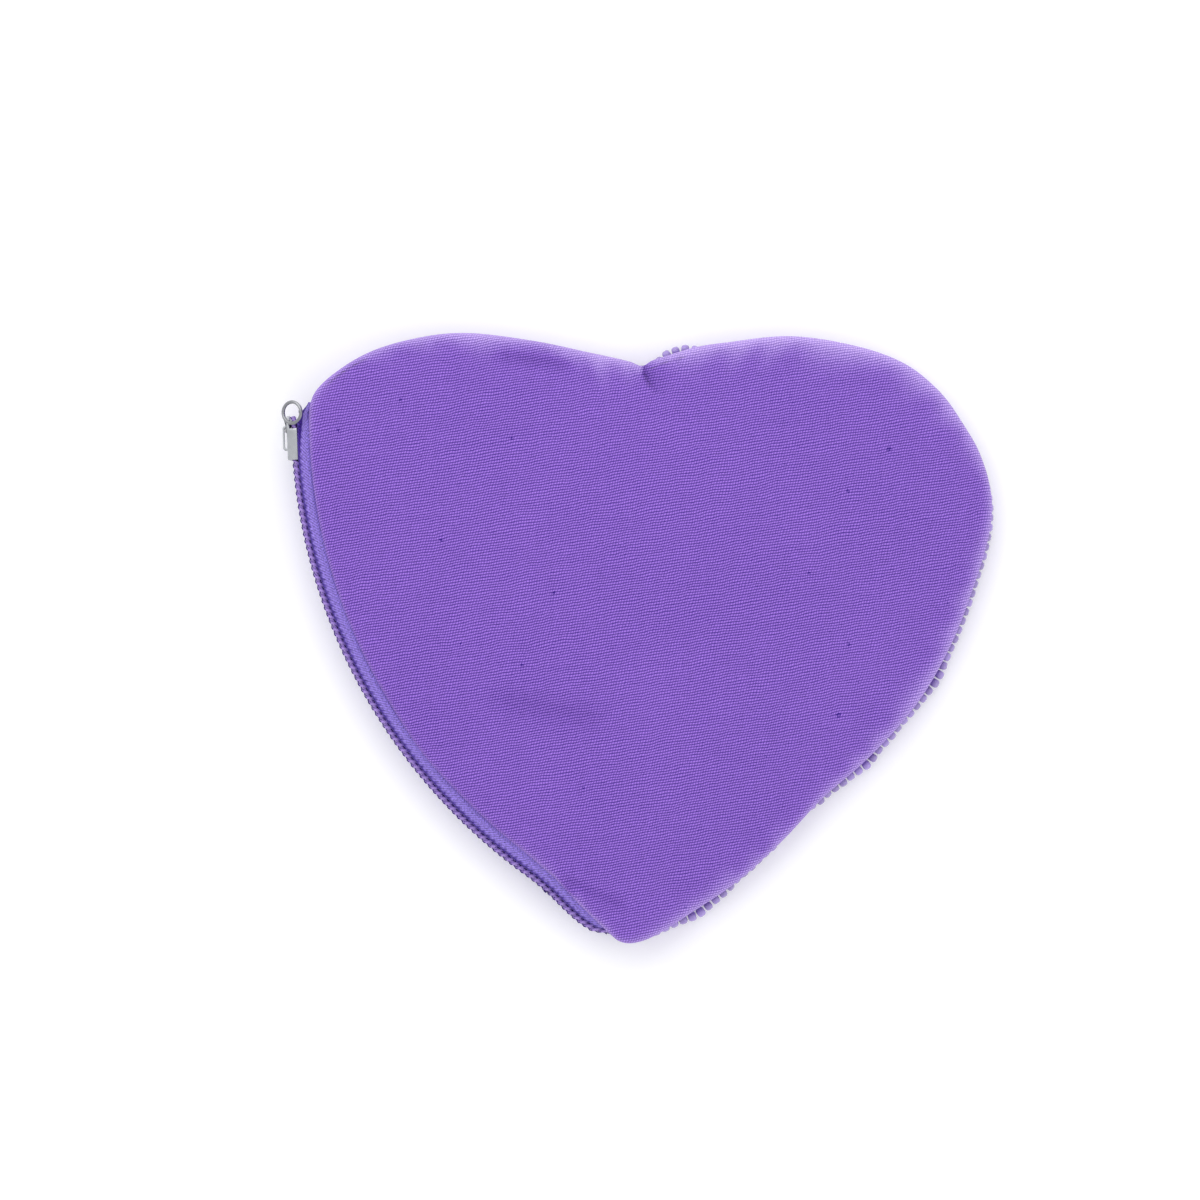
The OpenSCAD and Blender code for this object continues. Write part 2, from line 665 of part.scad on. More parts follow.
// The bridge: an arch of flat strap on the outer plate. Corners are cut at 45 degrees.
module bridge() {
    out = bridge_open_h + bridge_t;
    half = bridge_l / 2;
    leg = half - bridge_t * 1.5;
    cut = bridge_t;
    translate([outer_face - weld_l, 0, -bridge_w / 2]) linear_extrude(bridge_w) polygon([
        [0, -half], [out - cut, -half], [out, cut - half], [out, half - cut], [out - cut, half],
        [0, half], [0, leg], [bridge_open_h - cut / 2, leg], [bridge_open_h, leg - cut / 2],
        [bridge_open_h, cut / 2 - leg], [bridge_open_h - cut / 2, -leg], [0, -leg]
    ]);
}

module slider_body() {
    color("#A2A6A8") at_slider() {
        plate(outer_face - plate_t, plate_t, 0);
        plate(inner_face - inner_plate_t, inner_plate_t, 2 * slot_clear);
        flanges();
        wedge();
        bridge();
    }
}

// The pull: an eye round the upper leg of the bridge, a short neck and a ring that lies
// over the slider's shoulder, its outer side lower.
eye_r = (eye_d - eye_wire_d) / 2;
eye_out = outer_face + ply_gap / 2 + eye_wire_d / 2;
eye_y = bridge_t * 0.75 - bridge_l / 2;
ring_r = (ring_d - ring_wire_d) / 2;
ring_lean = 30;
neck_az = 20;
ring_rise = slider_w / 2 + 1.65 * ring_wire_d;
ring_up = 1.27 * ring_r;
module wire_ring_at(centre, lean, r, wire_d) {
    translate(centre) rotate([0, lean, 0]) rotate_extrude() translate([r, 0]) circle(d = wire_d);
}
module wire_between(a, b, from_r, to_r) {
    v = b - a;
    translate(a) rotate([0, acos(v.z / norm(v)), atan2(v.y, v.x)])
        cylinder(h = norm(v), r1 = from_r, r2 = to_r);
}

module ring_pull() {
    neck_out = eye_out + ring_wire_d / 4;
    ring_centre = [
        neck_out - ring_r * cos(neck_az) * cos(ring_lean),
        eye_y - ring_up,
        ring_rise
    ];
    neck_end = ring_centre + ring_r * [
        cos(neck_az) * cos(ring_lean), sin(neck_az), -cos(neck_az) * sin(ring_lean)
    ];
    aim = [0, neck_end.y - eye_y, neck_end.z];
    neck_start = [eye_out, eye_y, 0] + eye_r * aim / norm(aim);
    color("#A2A6A8") at_slider() {
        wire_ring_at([eye_out, eye_y, 0], 90, eye_r, eye_wire_d);
        wire_ring_at(ring_centre, ring_lean, ring_r, ring_wire_d);
        wire_between(neck_start, neck_end, eye_wire_d * 0.45, ring_wire_d * 0.42);
    }
}

back_panel();
back_padding();
back_lining();
lip_panel();
lip_padding();
lip_lining();
front_panel();
front_padding();
front_lining();
seam_allowance();
bead_field();
bead_row_outer();
bead_row_second();
lip_tape();
back_tape_ends();
front_tape();
lip_coil();
back_coil_ends();
front_coil();
end_tacks();
slider_body();
ring_pull();
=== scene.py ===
import math
from functools import partial
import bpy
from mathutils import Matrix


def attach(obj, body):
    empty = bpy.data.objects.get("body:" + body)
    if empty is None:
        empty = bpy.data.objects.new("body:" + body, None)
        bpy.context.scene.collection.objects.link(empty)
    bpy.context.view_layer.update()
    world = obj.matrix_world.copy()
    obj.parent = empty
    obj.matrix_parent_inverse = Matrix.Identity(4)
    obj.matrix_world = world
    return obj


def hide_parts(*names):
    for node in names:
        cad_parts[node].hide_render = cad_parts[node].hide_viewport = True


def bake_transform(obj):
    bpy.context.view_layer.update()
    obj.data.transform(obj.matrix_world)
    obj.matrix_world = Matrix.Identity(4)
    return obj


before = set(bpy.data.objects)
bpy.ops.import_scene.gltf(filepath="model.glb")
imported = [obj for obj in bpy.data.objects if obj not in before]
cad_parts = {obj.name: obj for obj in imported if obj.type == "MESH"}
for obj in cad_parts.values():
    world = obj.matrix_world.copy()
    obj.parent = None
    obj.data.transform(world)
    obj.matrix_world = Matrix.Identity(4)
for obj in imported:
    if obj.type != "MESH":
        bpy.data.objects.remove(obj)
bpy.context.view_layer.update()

from types import SimpleNamespace

import bmesh
import bpy
import numpy as np

bl_info = {
    "name": "Heart purse",
    "version": (1, 0, 0),
    "blender": (4, 5, 0),
    "location": "View3D > Sidebar > Heart purse",
    "description": "Finishes a heart shaped purse with its cloth, beads, zip and slider",
    "category": "Object",
}

MM = 0.001
WHOLE_TURN = 2 * math.pi

# The heart's outline. Each row is a place as shares of half the width and half the height,
# then how much of the zip side's height the panel's top and its lower edge keep there.
EDGE_SHARES = np.array([
    [-0.148, -0.886, 1, 1], [-0.084, -0.962, 0.94, 1], [-0.054, -0.989, 0.80, 0.5],
    [-0.014, -0.994, 0.62, 0], [0.043, -0.972, 0.42, 0], [0.131, -0.910, 0.16, 0],
    *((x, y, 0, 0) for x, y in (
        (0.307, -0.760), (0.481, -0.557), (0.642, -0.400), (0.784, -0.219), (0.883, -0.022),
        (0.949, 0.174), (0.991, 0.340), (0.997, 0.469), (0.966, 0.600), (0.915, 0.705),
        (0.852, 0.805), (0.752, 0.898), (0.610, 0.957), (0.427, 0.988), (0.242, 0.967),
        (0.115, 0.948), (0.043, 0.921), (0.007, 0.895), (-0.033, 0.907), (-0.140, 0.934))),
    [-0.310, 0.974, 0.04, 0], [-0.503, 0.998, 0.14, 0], [-0.666, 0.971, 0.36, 0],
    [-0.807, 0.914, 0.66, 0], [-0.900, 0.829, 0.90, 0],
])
ZIP_TOP_SHARE = np.array([-0.9312, 0.7426])
ZIP_END_SHARE = np.array([-0.2376, -0.7672])
ZIP_BULGE_SHARE = 0.1276
HUB_SHARE, HUB_Y = np.array([0.0, 0.1]), 5.8

# Heights above the table, in millimetres: the back stack's underside at the zip, at the seam
# and at the crown, the cloth's lower edge at the zip and at the seam, and the chain's middle
FOOT_ZIP_Z, FOOT_SEAM_Z, FOOT_CROWN_Z = 10.5, 3.8, 11.85
LOW_ZIP_Z, LOW_SEAM_Z, ZIP_Z = 11.35, 3.9, 7.0

# Other sizes in millimetres, and how finely the cloth, its pad, the layers and the edge are cut
STACK_T, ROLL_DROP, HEM_W = 2.85, 1.7, 1.5
STRIP_W, TAIL_L, TAIL_TURN, TAPE_T, TAPE_FOLD = 2.9, 15.0, 0.15, 0.315, 3.55
FRONT_SHIFT = np.array([0.5, -1.1])
CLOTH_CELLS, PAD_CELLS, LAYER_CELLS, EDGE_POINTS = 240, 56, 60, 1440


def linear(code):
    """An sRGB hex colour as linear red, green and blue."""
    parts = np.array([int(code[i:i + 2], 16) for i in (0, 2, 4)]) / 255
    return tuple(float(x) for x in np.where(
        parts <= 0.04045, parts / 12.92, ((parts + 0.055) / 1.055) ** 2.4))


def size(name, words, usual, low, high, digits=5):
    """A length that a user can change."""
    return bpy.props.FloatProperty(name=name, description=words, default=usual, min=low,
                                   max=high, unit="LENGTH", precision=digits)


def colour(name, words, code):
    """A colour that a user can change, from its sRGB hex code."""
    return bpy.props.FloatVectorProperty(name=name, description=words, subtype="COLOR", size=3,
                                         min=0, max=1, default=linear(code))


class PurseSizes(bpy.types.PropertyGroup):
    """Sizes of the purse's outline, cloth, beads and zip."""
    width: size("Width", "Width of the back over both lobes", 0.134, 0.12, 0.15, 2)
    height: size("Height", "Height of the back from its lobes to its tip",
                 0.116, 0.104, 0.13, 2)
    thread: size("Thread spacing", "Distance between two threads of the cloth",
                 0.00051, 0.0002, 0.001)
    bead: size("Bead", "Diameter of a seed bead", 0.0018, 0.001, 0.003)
    bead_pitch: size("Bead spacing", "Distance between beads on their thread",
                     0.00185, 0.0015, 0.003)
    row_pitch: size("Row spacing", "Distance between two rows of beads", 0.00195, 0.0015, 0.003)
    coil_pitch: size("Coil spacing", "Distance between two turns of a coil",
                     0.00131, 0.001, 0.002)
    wire: size("Coil wire", "Diameter of the coil's wire", 0.00056, 0.0003, 0.0007)


class PurseColours(bpy.types.PropertyGroup):
    """Colours of the purse's cloth, beads, zip and metal."""
    cotton: colour("Cotton", "Dyed cotton of both panels", "865FC5")
    lining: colour("Lining", "Thin cotton inside", "9A86C4")
    tape: colour("Zip tape", "Woven polyester of the zip", "8E78D0")
    coil: colour("Coil", "Nylon wire of the zip", "A588D4")
    bead: colour("Beads", "Glass seed beads", "9E87CC")
    # Kept dark, so that the seam thread beside the coil also paints the shade in the gap there.
    thread: colour("Thread", "Sewing thread", "3A2270")
    metal: colour("Metal", "Plated zinc of the slider", "C2C4C8")
    # Darker than the slider's metal, as painted shade for the shadow the ring lies in.
    ring: colour("Ring", "Plated wire of the ring pull", "9C9DA1")
    floor: colour("Floor", "Plain pale floor", "FCFCFC")


# Lines and grids

def smooth(t):
    """Goes from 0 to 1 with level ends, for t from 0 to 1."""
    t = np.clip(t, 0, 1)
    return t * t * (3 - 2 * t)


def half_size(sizes):
    """Half the width and half the height, in millimetres."""
    return np.array([sizes.width, sizes.height]) / 2 / MM


def zip_circle(sizes):
    """Centre, radius and end angles of the panel's edge along the zip: the circle through both
    ends of the zip that bulges from their chord by the named share. Then the two ends, and the
    direction outwards from their chord."""
    top, end = (share * half_size(sizes) for share in (ZIP_TOP_SHARE, ZIP_END_SHARE))
    chord = end - top
    length = np.hypot(*chord)
    along = chord / length
    out = np.array([along[1], -along[0]])
    bulge = ZIP_BULGE_SHARE * length
    radius = length ** 2 / bulge / 8 + bulge / 2
    centre = (top + end) / 2 + (bulge - radius) * out
    angles = [math.atan2(*(p - centre)[::-1]) % WHOLE_TURN for p in (top, end)]
    return centre, radius, *angles, top, end, out


def run_along(line):
    """The length of a line from its start to each of its points."""
    return np.concatenate([[0], np.cumsum(np.hypot(*np.diff(line[:, :2], axis=0).T))])


def resample(line, count, closed=True):
    """Points at even steps of length along a line, by straight interpolation of every column."""
    line = np.vstack([line, line[:1]]) if closed else line
    run = run_along(line)
    steps = np.linspace(0, run[-1], count + 1)[:-1] if closed else np.linspace(0, run[-1], count)
    return np.stack([np.interp(steps, run, column) for column in line.T], 1)


def outline(sizes, count):
    """The back panel's closed edge: the zip's arc, then a Catmull-Rom curve through the
    listed shares. Columns are x, y, the top's share and the lower edge's share."""
    centre, radius, first, last = zip_circle(sizes)[:4]
    angle = np.linspace(first, last, 61)
    arc = np.stack([centre[0] + radius * np.cos(angle), centre[1] + radius * np.sin(angle),
                    np.ones(61), np.ones(61)], 1)
    places = EDGE_SHARES * np.array([*half_size(sizes), 1, 1])
    knots = np.vstack([arc[-6], arc[-1], places, arc[0], arc[5]])
    t = np.linspace(0, 1, 24, endpoint=False)[None, :, None]
    a, b, c, d = (knots[i:len(knots) - 3 + i][:, None] for i in range(4))
    curve = (2 * b + (c - a) * t + (2 * a - 5 * b + 4 * c - d) * t ** 2
             + (3 * b - a - 3 * c + d) * t ** 3) / 2
    line = np.vstack([arc[:-1], curve.reshape(-1, 4)])
    line[:, 2:] = np.clip(line[:, 2:], 0, 1)
    return resample(line, count)


def sideways(line, distance):
    """A closed line moved inwards along its own normals."""
    ahead = np.roll(line[:, :2], -1, 0) - np.roll(line[:, :2], 1, 0)
    ahead /= np.hypot(*ahead.T)[:, None]
    return line[:, :2] + distance * np.stack([-ahead[:, 1], ahead[:, 0]], 1)


def from_hub(sizes, line):
    """The hub, then a line's points seen from it: their angles and distances, sorted by angle,
    and that order."""
    hub = HUB_SHARE * half_size(sizes)
    seen = line[:, :2] - hub
    angle = np.arctan2(seen[:, 1], seen[:, 0])
    order = np.argsort(angle)
    return hub, angle[order], np.hypot(*seen.T)[order], order


def disc_grid(count):
    """A square grid of count cells bent into a unit disc, ring on ring, so that it has no pole:
    the larger of the two coordinates is the radius and the smaller one the angle. Gives the
    radius and angle of each point, row by row."""
    axis = np.linspace(-1, 1, count + 1)
    a, b = np.meshgrid(axis, axis)
    wide = np.abs(a) > np.abs(b)
    with np.errstate(divide="ignore", invalid="ignore"):
        radius = np.where(wide, a, b)
        turn = np.where(wide, math.pi / 4 * b / a, math.pi / 2 - math.pi / 4 * a / b)
    turn = np.nan_to_num(turn)
    x, y = radius * np.cos(turn), radius * np.sin(turn)
    return np.hypot(x, y).ravel(), np.arctan2(y, x).ravel()


def heart_disc(sizes, count, inset):
    """A disc grid stretched to the outline less an inset, which is a number or a function of
    the top's share. Each point lies at the hub plus its radius in the disc times the reach of
    the outline less the inset, along its ray."""
    line = outline(sizes, EDGE_POINTS)
    hub, angles, reaches, order = from_hub(sizes, line)
    rho, angle = disc_grid(count)
    reach, top, low = (np.interp(angle, angles, column, period=WHOLE_TURN)
                       for column in (reaches, *line[order, 2:].T))
    inset = inset(top) if callable(inset) else inset
    spread = rho * (reach - inset)
    ray = np.stack([np.cos(angle), np.sin(angle)], 1)
    return SimpleNamespace(flat=hub + spread[:, None] * ray, rho=rho, spread=spread, reach=reach,
                           top=top, low=low, ray=ray, inset=inset, hub=hub)


def rim_order(count):
    """Indices of a grid's outer points, once round anticlockwise."""
    n = count + 1
    k = np.arange(count)
    return np.concatenate([k, count + k * n, count * n + count - k, (count - k) * n])


def grid_quads(rows, columns, closed=False):
    """Faces between neighbouring rows of points, joined up at the end of a row if closed."""
    i = np.arange(rows - 1)[:, None] * columns
    j = np.arange(columns if closed else columns - 1)[None, :]
    k = (j + 1) % columns
    return np.stack([i + j, i + k, i + columns + k, i + columns + j], -1).reshape(-1, 4)


def capped_quads(rows, sides):
    """Faces of a tube with a flat cap on each end."""
    ring = np.arange(sides)
    return grid_quads(rows, sides, True).tolist() + [ring[::-1].tolist(),
                                                    (ring + (rows - 1) * sides).tolist()]


def ring_quads(rim, first, rings, inward=False):
    """Faces from a grid's rim to the rings of points that follow it, turned over if inward."""
    n = len(rim)
    rows = np.vstack([rim, first + np.arange(rings * n).reshape(rings, n)])
    a, b = rows[:-1], rows[1:]
    faces = np.stack([a, b, np.roll(b, -1, 1), np.roll(a, -1, 1)], -1)
    return (faces[..., [0, 3, 2, 1]] if inward else faces).reshape(-1, 4)


def slab_quads(count):
    """Faces of a grid, of its copy below and of the wall round their rims."""
    n = (count + 1) ** 2
    faces, rim = grid_quads(count + 1, count + 1), rim_order(count)
    ahead = np.roll(rim, -1)
    return np.vstack([faces, faces[:, ::-1] + n, np.stack([rim, rim + n, ahead + n, ahead], 1)])


def foot_z(share, top):
    """Height of the back stack's underside: from the edge's own height up to the crown's, by
    one less the share of the way to the edge to the power of two and a half."""
    edge = FOOT_SEAM_Z + (FOOT_ZIP_Z - FOOT_SEAM_Z) * top
    return edge + (FOOT_CROWN_Z - edge) * (1 - np.clip(share, 0, 1) ** 2.5)


def mouth_length(sizes):
    """The length of the zip's arc along the chain's middle: its angle times its radius."""
    radius, first, last = zip_circle(sizes)[1:4]
    return (last - first) * (radius + STRIP_W)


def chain_path(sizes, length):
    """The zip chain's middle at each length: round the arc, then along a tail that bends
    outwards with the square of the length. Gives points and outward directions."""
    centre, radius, first = zip_circle(sizes)[:3]
    radius, whole = radius + STRIP_W, mouth_length(sizes)
    length = np.asarray(length, float)
    angle = first + np.minimum(length, whole) / radius
    out = np.stack([np.cos(angle), np.sin(angle)], -1)
    along = np.stack([-np.sin(angle), np.cos(angle)], -1)
    past = np.maximum(length - whole, 0)[..., None]
    bend = TAIL_TURN * past ** 2 / TAIL_L
    point = centre + radius * out + past * along + bend * out
    heading = along + 2 * TAIL_TURN * past / TAIL_L * out
    heading = heading / np.linalg.norm(heading, axis=-1, keepdims=True)
    return point, np.stack([heading[..., 1], -heading[..., 0]], -1)


def by_chain(sizes, length, out, z):
    """Points at a length along the chain, a distance out from its middle and a height. From 4 mm
    before the mouth's end the chain swings 1.1 mm further out and back over smooth steps, and
    its last 3.5 mm are tucked in 1.6 mm, where its end is sewn into the seam."""
    point, outward = chain_path(sizes, length)
    past = np.asarray(length) - mouth_length(sizes)
    bulge = 1.1 * smooth((past + 4.0) / 11.0) * smooth((TAIL_L - past) / 7.0)
    tuck = 1.6 * smooth((past - TAIL_L) / 3.5 + 1)
    flat = point + (np.asarray(out) + bulge - tuck)[..., None] * outward
    return np.concatenate([flat, np.broadcast_to(np.asarray(z), flat.shape[:-1])[..., None]], -1)


def tube(path, radius, sides, up):
    """A round wire along a path: at each point a ring of even sides, square to the path, turned
    to the given upward directions."""
    tangent = np.gradient(path, axis=0)
    tangent /= np.linalg.norm(tangent, axis=1, keepdims=True)
    v = up - np.sum(up * tangent, 1, keepdims=True) * tangent
    v /= np.linalg.norm(v, axis=1, keepdims=True)
    w = np.cross(tangent, v)
    angle = (np.arange(sides) * WHOLE_TURN / sides)[None, :, None]
    ring = np.cos(angle) * v[:, None] + np.sin(angle) * w[:, None]
    return (path[:, None] + radius * ring).reshape(-1, 3), capped_quads(len(path), sides)


def merge(parts):
    """Several lists of points and faces as one."""
    points, faces, start = [], [], 0
    for p, f in parts:
        points.append(p)
        faces += [[i + start for i in face] for face in f]
        start += len(p)
    return np.vstack(points), faces


# Pieces in the scene

def put_mesh(name, points, faces, material, uv=None, shade=None):
    """A smooth shaded mesh object at the origin. Points are in millimetres, uv is the place on
    the flat cloth in millimetres, and shade is one number for each point."""
    old = bpy.data.objects.get(name)
    if old is not None:
        bpy.data.objects.remove(old)
    mesh = bpy.data.meshes.new(name)
    mesh.from_pydata((np.asarray(points) * MM).tolist(), [], [list(map(int, f)) for f in faces])
    mesh.polygons.foreach_set("use_smooth", np.ones(len(mesh.polygons), bool))
    if uv is not None:
        loops = np.zeros(len(mesh.loops), int)
        mesh.loops.foreach_get("vertex_index", loops)
        layer = mesh.uv_layers.new(name="flat_cloth")
        layer.data.foreach_set("uv", (np.asarray(uv)[loops] * MM).astype(np.float32).ravel())
    if shade is not None:
        attribute = mesh.attributes.new("shade", "FLOAT", "POINT")
        attribute.data.foreach_set("value", np.asarray(shade, np.float32))
    mesh.materials.append(material)
    mesh.update()
    obj = bpy.data.objects.new(name, mesh)
    bpy.context.scene.collection.objects.link(obj)
    return obj


def seat(piece, slot, *nodes, body="pouch"):
    """Hides the CAD nodes that a piece stands for and lets it move with a body. Without a body
    its transform is baked into its mesh. Its slot is not used."""
    if nodes:
        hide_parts(*nodes)
    if body:
        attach(piece, body)
        return
    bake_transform(piece)


# Finishes

def plug(node, **links):
    """Gives each named input of a node a value, a socket or another node's first output."""
    for key, value in links.items():
        place = int(key[1:]) if key[1:].isdigit() else key.replace("_", " ")
        if isinstance(value, bpy.types.Node):
            value = value.outputs[0]
        if isinstance(value, bpy.types.NodeSocket):
            node.id_data.links.new(value, node.inputs[place])
        else:
            node.inputs[place].default_value = value


def add_node(tree, kind, settings=None, **links):
    """Adds a node with its settings, where a word alone is its operation, and its links."""
    node = tree.nodes.new("ShaderNode" + kind)
    if isinstance(settings, str):
        settings = {"operation": settings}
    for key, value in (settings or {}).items():
        setattr(node, key, value)
    plug(node, **links)
    return node


def new_material(name, shown, **values):
    """A material whose principled shader has the given values. Gives the material, its shader
    and the function that adds a node to it."""
    material = bpy.data.materials.new(name)
    material.use_nodes = True
    material.diffuse_color = (*shown, 1)
    tree = material.node_tree
    shader = tree.nodes["Principled BSDF"]
    plug(shader, **values)
    return material, shader, partial(add_node, tree)


def woven_material(name, shade, pitch, turn, rough, sheen, depth, slub):
    """Plain woven cloth. The threads go over and under each other at every crossing, so the
    eye sees fine rows that run uphill and a fainter set that leans across them, with the
    hollows between them darker. It is matt with a soft pale edge, where loose fibres catch the
    light, and now and then a thread is thicker or a speck of seed is left in it. Its shade
    attribute paints a pale highlight where the cloth rolls over an edge, with the weave eased
    there, and painted shade in the folds."""
    material, shader, node = new_material(
        name, shade, Roughness=rough, Specular_IOR_Level=0.2, Sheen_Weight=sheen,
        Sheen_Roughness=0.35, Sheen_Tint=(0.72, 0.58, 1.0, 1))
    place = node("UVMap", {"uv_map": "flat_cloth"})
    painted_light = node("Attribute", {"attribute_name": "shade"}).outputs["Fac"]
    wander = node("TexNoise", Vector=place, Scale=130, Detail=3, Roughness=0.6)
    drift = node("VectorMath", "MULTIPLY_ADD", i0=wander.outputs["Color"],
                 i1=(pitch * 2.2,) * 3, i2=place)
    sets = []
    for lean, step in ((turn, pitch), (math.pi / 2 - turn * 1.4, pitch * 0.91)):
        wave = (-math.sin(lean) * math.pi / step, math.cos(lean) * math.pi / step, 0)
        phase = node("VectorMath", "DOT_PRODUCT", i0=drift, i1=wave).outputs["Value"]
        sets.append(node("Math", "ABSOLUTE", i0=node("Math", "SINE", i0=phase)))
    weft, warp = sets
    cross = node("Math", "MULTIPLY", i0=weft, i1=warp)
    rows = node("Math", "MULTIPLY", i0=weft, i1=0.55)
    height = node("Math", "MULTIPLY_ADD", i0=cross, i1=1.25, i2=rows)
    slubs = []
    for squeeze in ((70, 1500, 1), (1500, 60, 1)):
        stretched = node("Mapping", Vector=place, Rotation=(0, 0, -turn), Scale=squeeze)
        slubs.append(node("TexNoise", Vector=stretched, Scale=1, Detail=3, Roughness=0.65))
    fibre = node("TexNoise", Vector=place, Scale=2300, Detail=2, Roughness=0.7)
    specks = node("TexNoise", Vector=place, Scale=520, Detail=0)
    nub = node("MapRange", Value=specks, From_Min=0.845, From_Max=0.87)
    cloud = node("TexNoise", Vector=place, Scale=36, Detail=3, Roughness=0.55)
    tone = node("Math", "MULTIPLY_ADD", i0=height, i1=0.66, i2=1 - 0.66 * 0.857)
    for grain, share in ((slubs[0], slub), (slubs[1], slub * 0.6), (cloud, 0.10), (fibre, 0.6)):
        tone = node("Math", "MULTIPLY_ADD", i0=grain, i1=share, i2=tone)
        tone = node("Math", "SUBTRACT", i0=tone, i1=share / 2)
    dark = node("Math", "MULTIPLY_ADD", i0=nub, i1=-0.45, i2=tone)
    mix = {"data_type": "RGBA"}
    # Painted highlight: a pale tint where the shade attribute is above zero, along the rolled
    # edge.
    painted_highlight = node("Mix", mix, Factor=painted_light, i6=(*shade, 1), i7=(*linear("CDB2FA"), 1))
    # Painted shade: a dark purple tint where the shade attribute is below zero, in the folds.
    folded = node("Math", "MULTIPLY", i0=painted_light, i1=-1.0)
    painted_shade = node("Mix", mix, Factor=folded, i6=painted_highlight.outputs[2], i7=(*linear("4A2C86"), 1))
    light = node("MapRange", Value=dark, From_Min=0.35, From_Max=1.65)
    spread = node("Mix", mix, Factor=light, i6=(0.11, 0.03, 0.40, 1), i7=(1.89, 1.97, 1.60, 1))
    # Where the painted highlight lies, the weave's contrast is eased.
    calm = node("Math", "MULTIPLY", i0=painted_light, i1=0.65)
    smoothed = node("Mix", mix, Factor=calm, i6=spread.outputs[2], i7=(1, 1, 1, 1))
    tinted = node("Mix", {**mix, "blend_type": "MULTIPLY", "clamp_result": True}, Factor=1.0,
                  i6=painted_shade.outputs[2], i7=smoothed.outputs[2])
    relief = node("Bump", Height=height, Strength=depth, Distance=pitch * 0.35)
    thick = node("Bump", Height=slubs[0], Strength=depth * 0.5, Distance=pitch * 0.5,
                 Normal=relief)
    plug(shader, Base_Color=tinted.outputs[2], Normal=thick)
    return material


def twill_material(name, shade, pitch):
    """Zip tape of woven polyester. Fine ribs run in chevrons along its length under a light
    fuzz of broken fibres, with a slight sheen, because its threads are long and smooth. Its
    shade attribute paints shade in the groove beside the coil and along the cloth's edge."""
    material, shader, node = new_material(
        name, shade, Roughness=0.62, Specular_IOR_Level=0.15, Sheen_Weight=0.12,
        Sheen_Roughness=0.35, Sheen_Tint=(0.75, 0.65, 1.0, 1))
    place = node("UVMap", {"uv_map": "flat_cloth"})
    parts = node("SeparateXYZ", Vector=place)
    fold = node("Math", "PINGPONG", i0=parts.outputs["Y"], i1=pitch * 4)
    slant = node("Math", "ADD", i0=parts.outputs["X"], i1=fold)
    turns = node("Math", "MULTIPLY", i0=slant, i1=WHOLE_TURN / pitch)
    rib = node("Math", "SINE", i0=turns)
    fuzz = node("TexNoise", Vector=place, Scale=2600, Detail=3, Roughness=0.7)
    both = node("Math", "MULTIPLY_ADD", i0=fuzz, i1=9.0, i2=rib)
    tone = node("MapRange", Value=both, From_Min=2.0, From_Max=7.0, To_Min=0.36, To_Max=1.64)
    # Painted shade: a dark purple tint in the groove beside the coil and along the cloth's edge.
    groove = node("Attribute", {"attribute_name": "shade"}).outputs["Fac"]
    shaded_tape = node("Mix", {"data_type": "RGBA"}, Factor=groove, i6=(*shade, 1),
                 i7=(*linear("381A84"), 1))
    plug(shader, Base_Color=node("VectorMath", "SCALE", i0=shaded_tape.outputs[2], Scale=tone),
         Normal=node("Bump", Height=both, Strength=0.5, Distance=pitch * 0.12))
    return material


def clouded_material(name, shade, scale, detail, tones, bump=None, own=None, **values):
    """A material whose shade is scaled by a cloud of noise on Object coordinates. The tones are
    the noise's two ends and the tone at each, bump is the strength and height of a relief from
    the same noise, and own is the cloud's share beside each bead's own shade. Gives also the
    shader, the node function, the place and the cloud."""
    material, shader, node = new_material(name, shade, **values)
    place = node("TexCoord").outputs["Object"]
    cloud = node("TexNoise", Vector=place, Scale=scale, Detail=detail)
    level = cloud
    if own:
        bead = node("Attribute", {"attribute_name": "shade"}).outputs["Fac"]
        level = node("Math", "MULTIPLY_ADD", i0=cloud, i1=own, i2=bead)
    tone = node("MapRange", Value=level, From_Min=tones[0], From_Max=tones[1], To_Min=tones[2],
                To_Max=tones[3])
    plug(shader, Base_Color=node("VectorMath", "SCALE", i0=tuple(shade), Scale=tone))
    if bump:
        plug(shader, Normal=node("Bump", Height=cloud, Strength=bump[0], Distance=bump[1]))
    return material, shader, node, place, cloud


def bead_material(name, shade):
    """Opaque glass seed beads with a pearl lustre. Each is cut from drawn tube and tumbled
    smooth, so its ends are rounded and shiny and its tint differs a little from the next."""
    return clouded_material(name, shade, 900, 2, (0, 1.14, 0.78, 1.16), own=0.14, Roughness=0.22,
                            IOR=1.52, Coat_Weight=0.5, Coat_Roughness=0.08,
                            Sheen_Weight=0.15)[0]


def nylon_material(name, shade):
    """Dyed nylon monofilament, drawn and then wound hot into a coil. It is smooth, with a soft
    highlight along each turn and faint bands where the die dragged."""
    return clouded_material(name, shade, 1500, 2, (0.3, 0.7, 0.90, 1.08), (0.1, 0.00002),
                            Roughness=0.36, IOR=1.53, Specular_IOR_Level=0.3)[0]


def thread_material(name, shade):
    """Twisted polyester sewing thread: two plies that wind round each other, slightly shiny."""
    return clouded_material(name, shade, 4000, 1, (0.3, 0.7, 0.8, 1.15), (0.4, 0.00004),
                            Roughness=0.6, Specular_IOR_Level=0.12)[0]


def plated_material(name, shade):
    """Zinc alloy, die cast, tumbled and plated with nickel. It is bright grey with soft, uneven
    reflections, finely pitted, and darker where handling has dulled it."""
    material, shader, node, place, broad = clouded_material(
        name, shade, 420, 3, (0.3, 0.7, 0.80, 1.06), Metallic=1)
    fine = node("TexNoise", Vector=place, Scale=2600, Detail=3)
    dull = node("MapRange", Value=broad, From_Min=0.3, From_Max=0.75, To_Min=0.34, To_Max=0.20)
    plug(shader, Roughness=dull, Normal=node("Bump", Height=fine, Strength=0.15,
                                             Distance=0.00003))
    return material


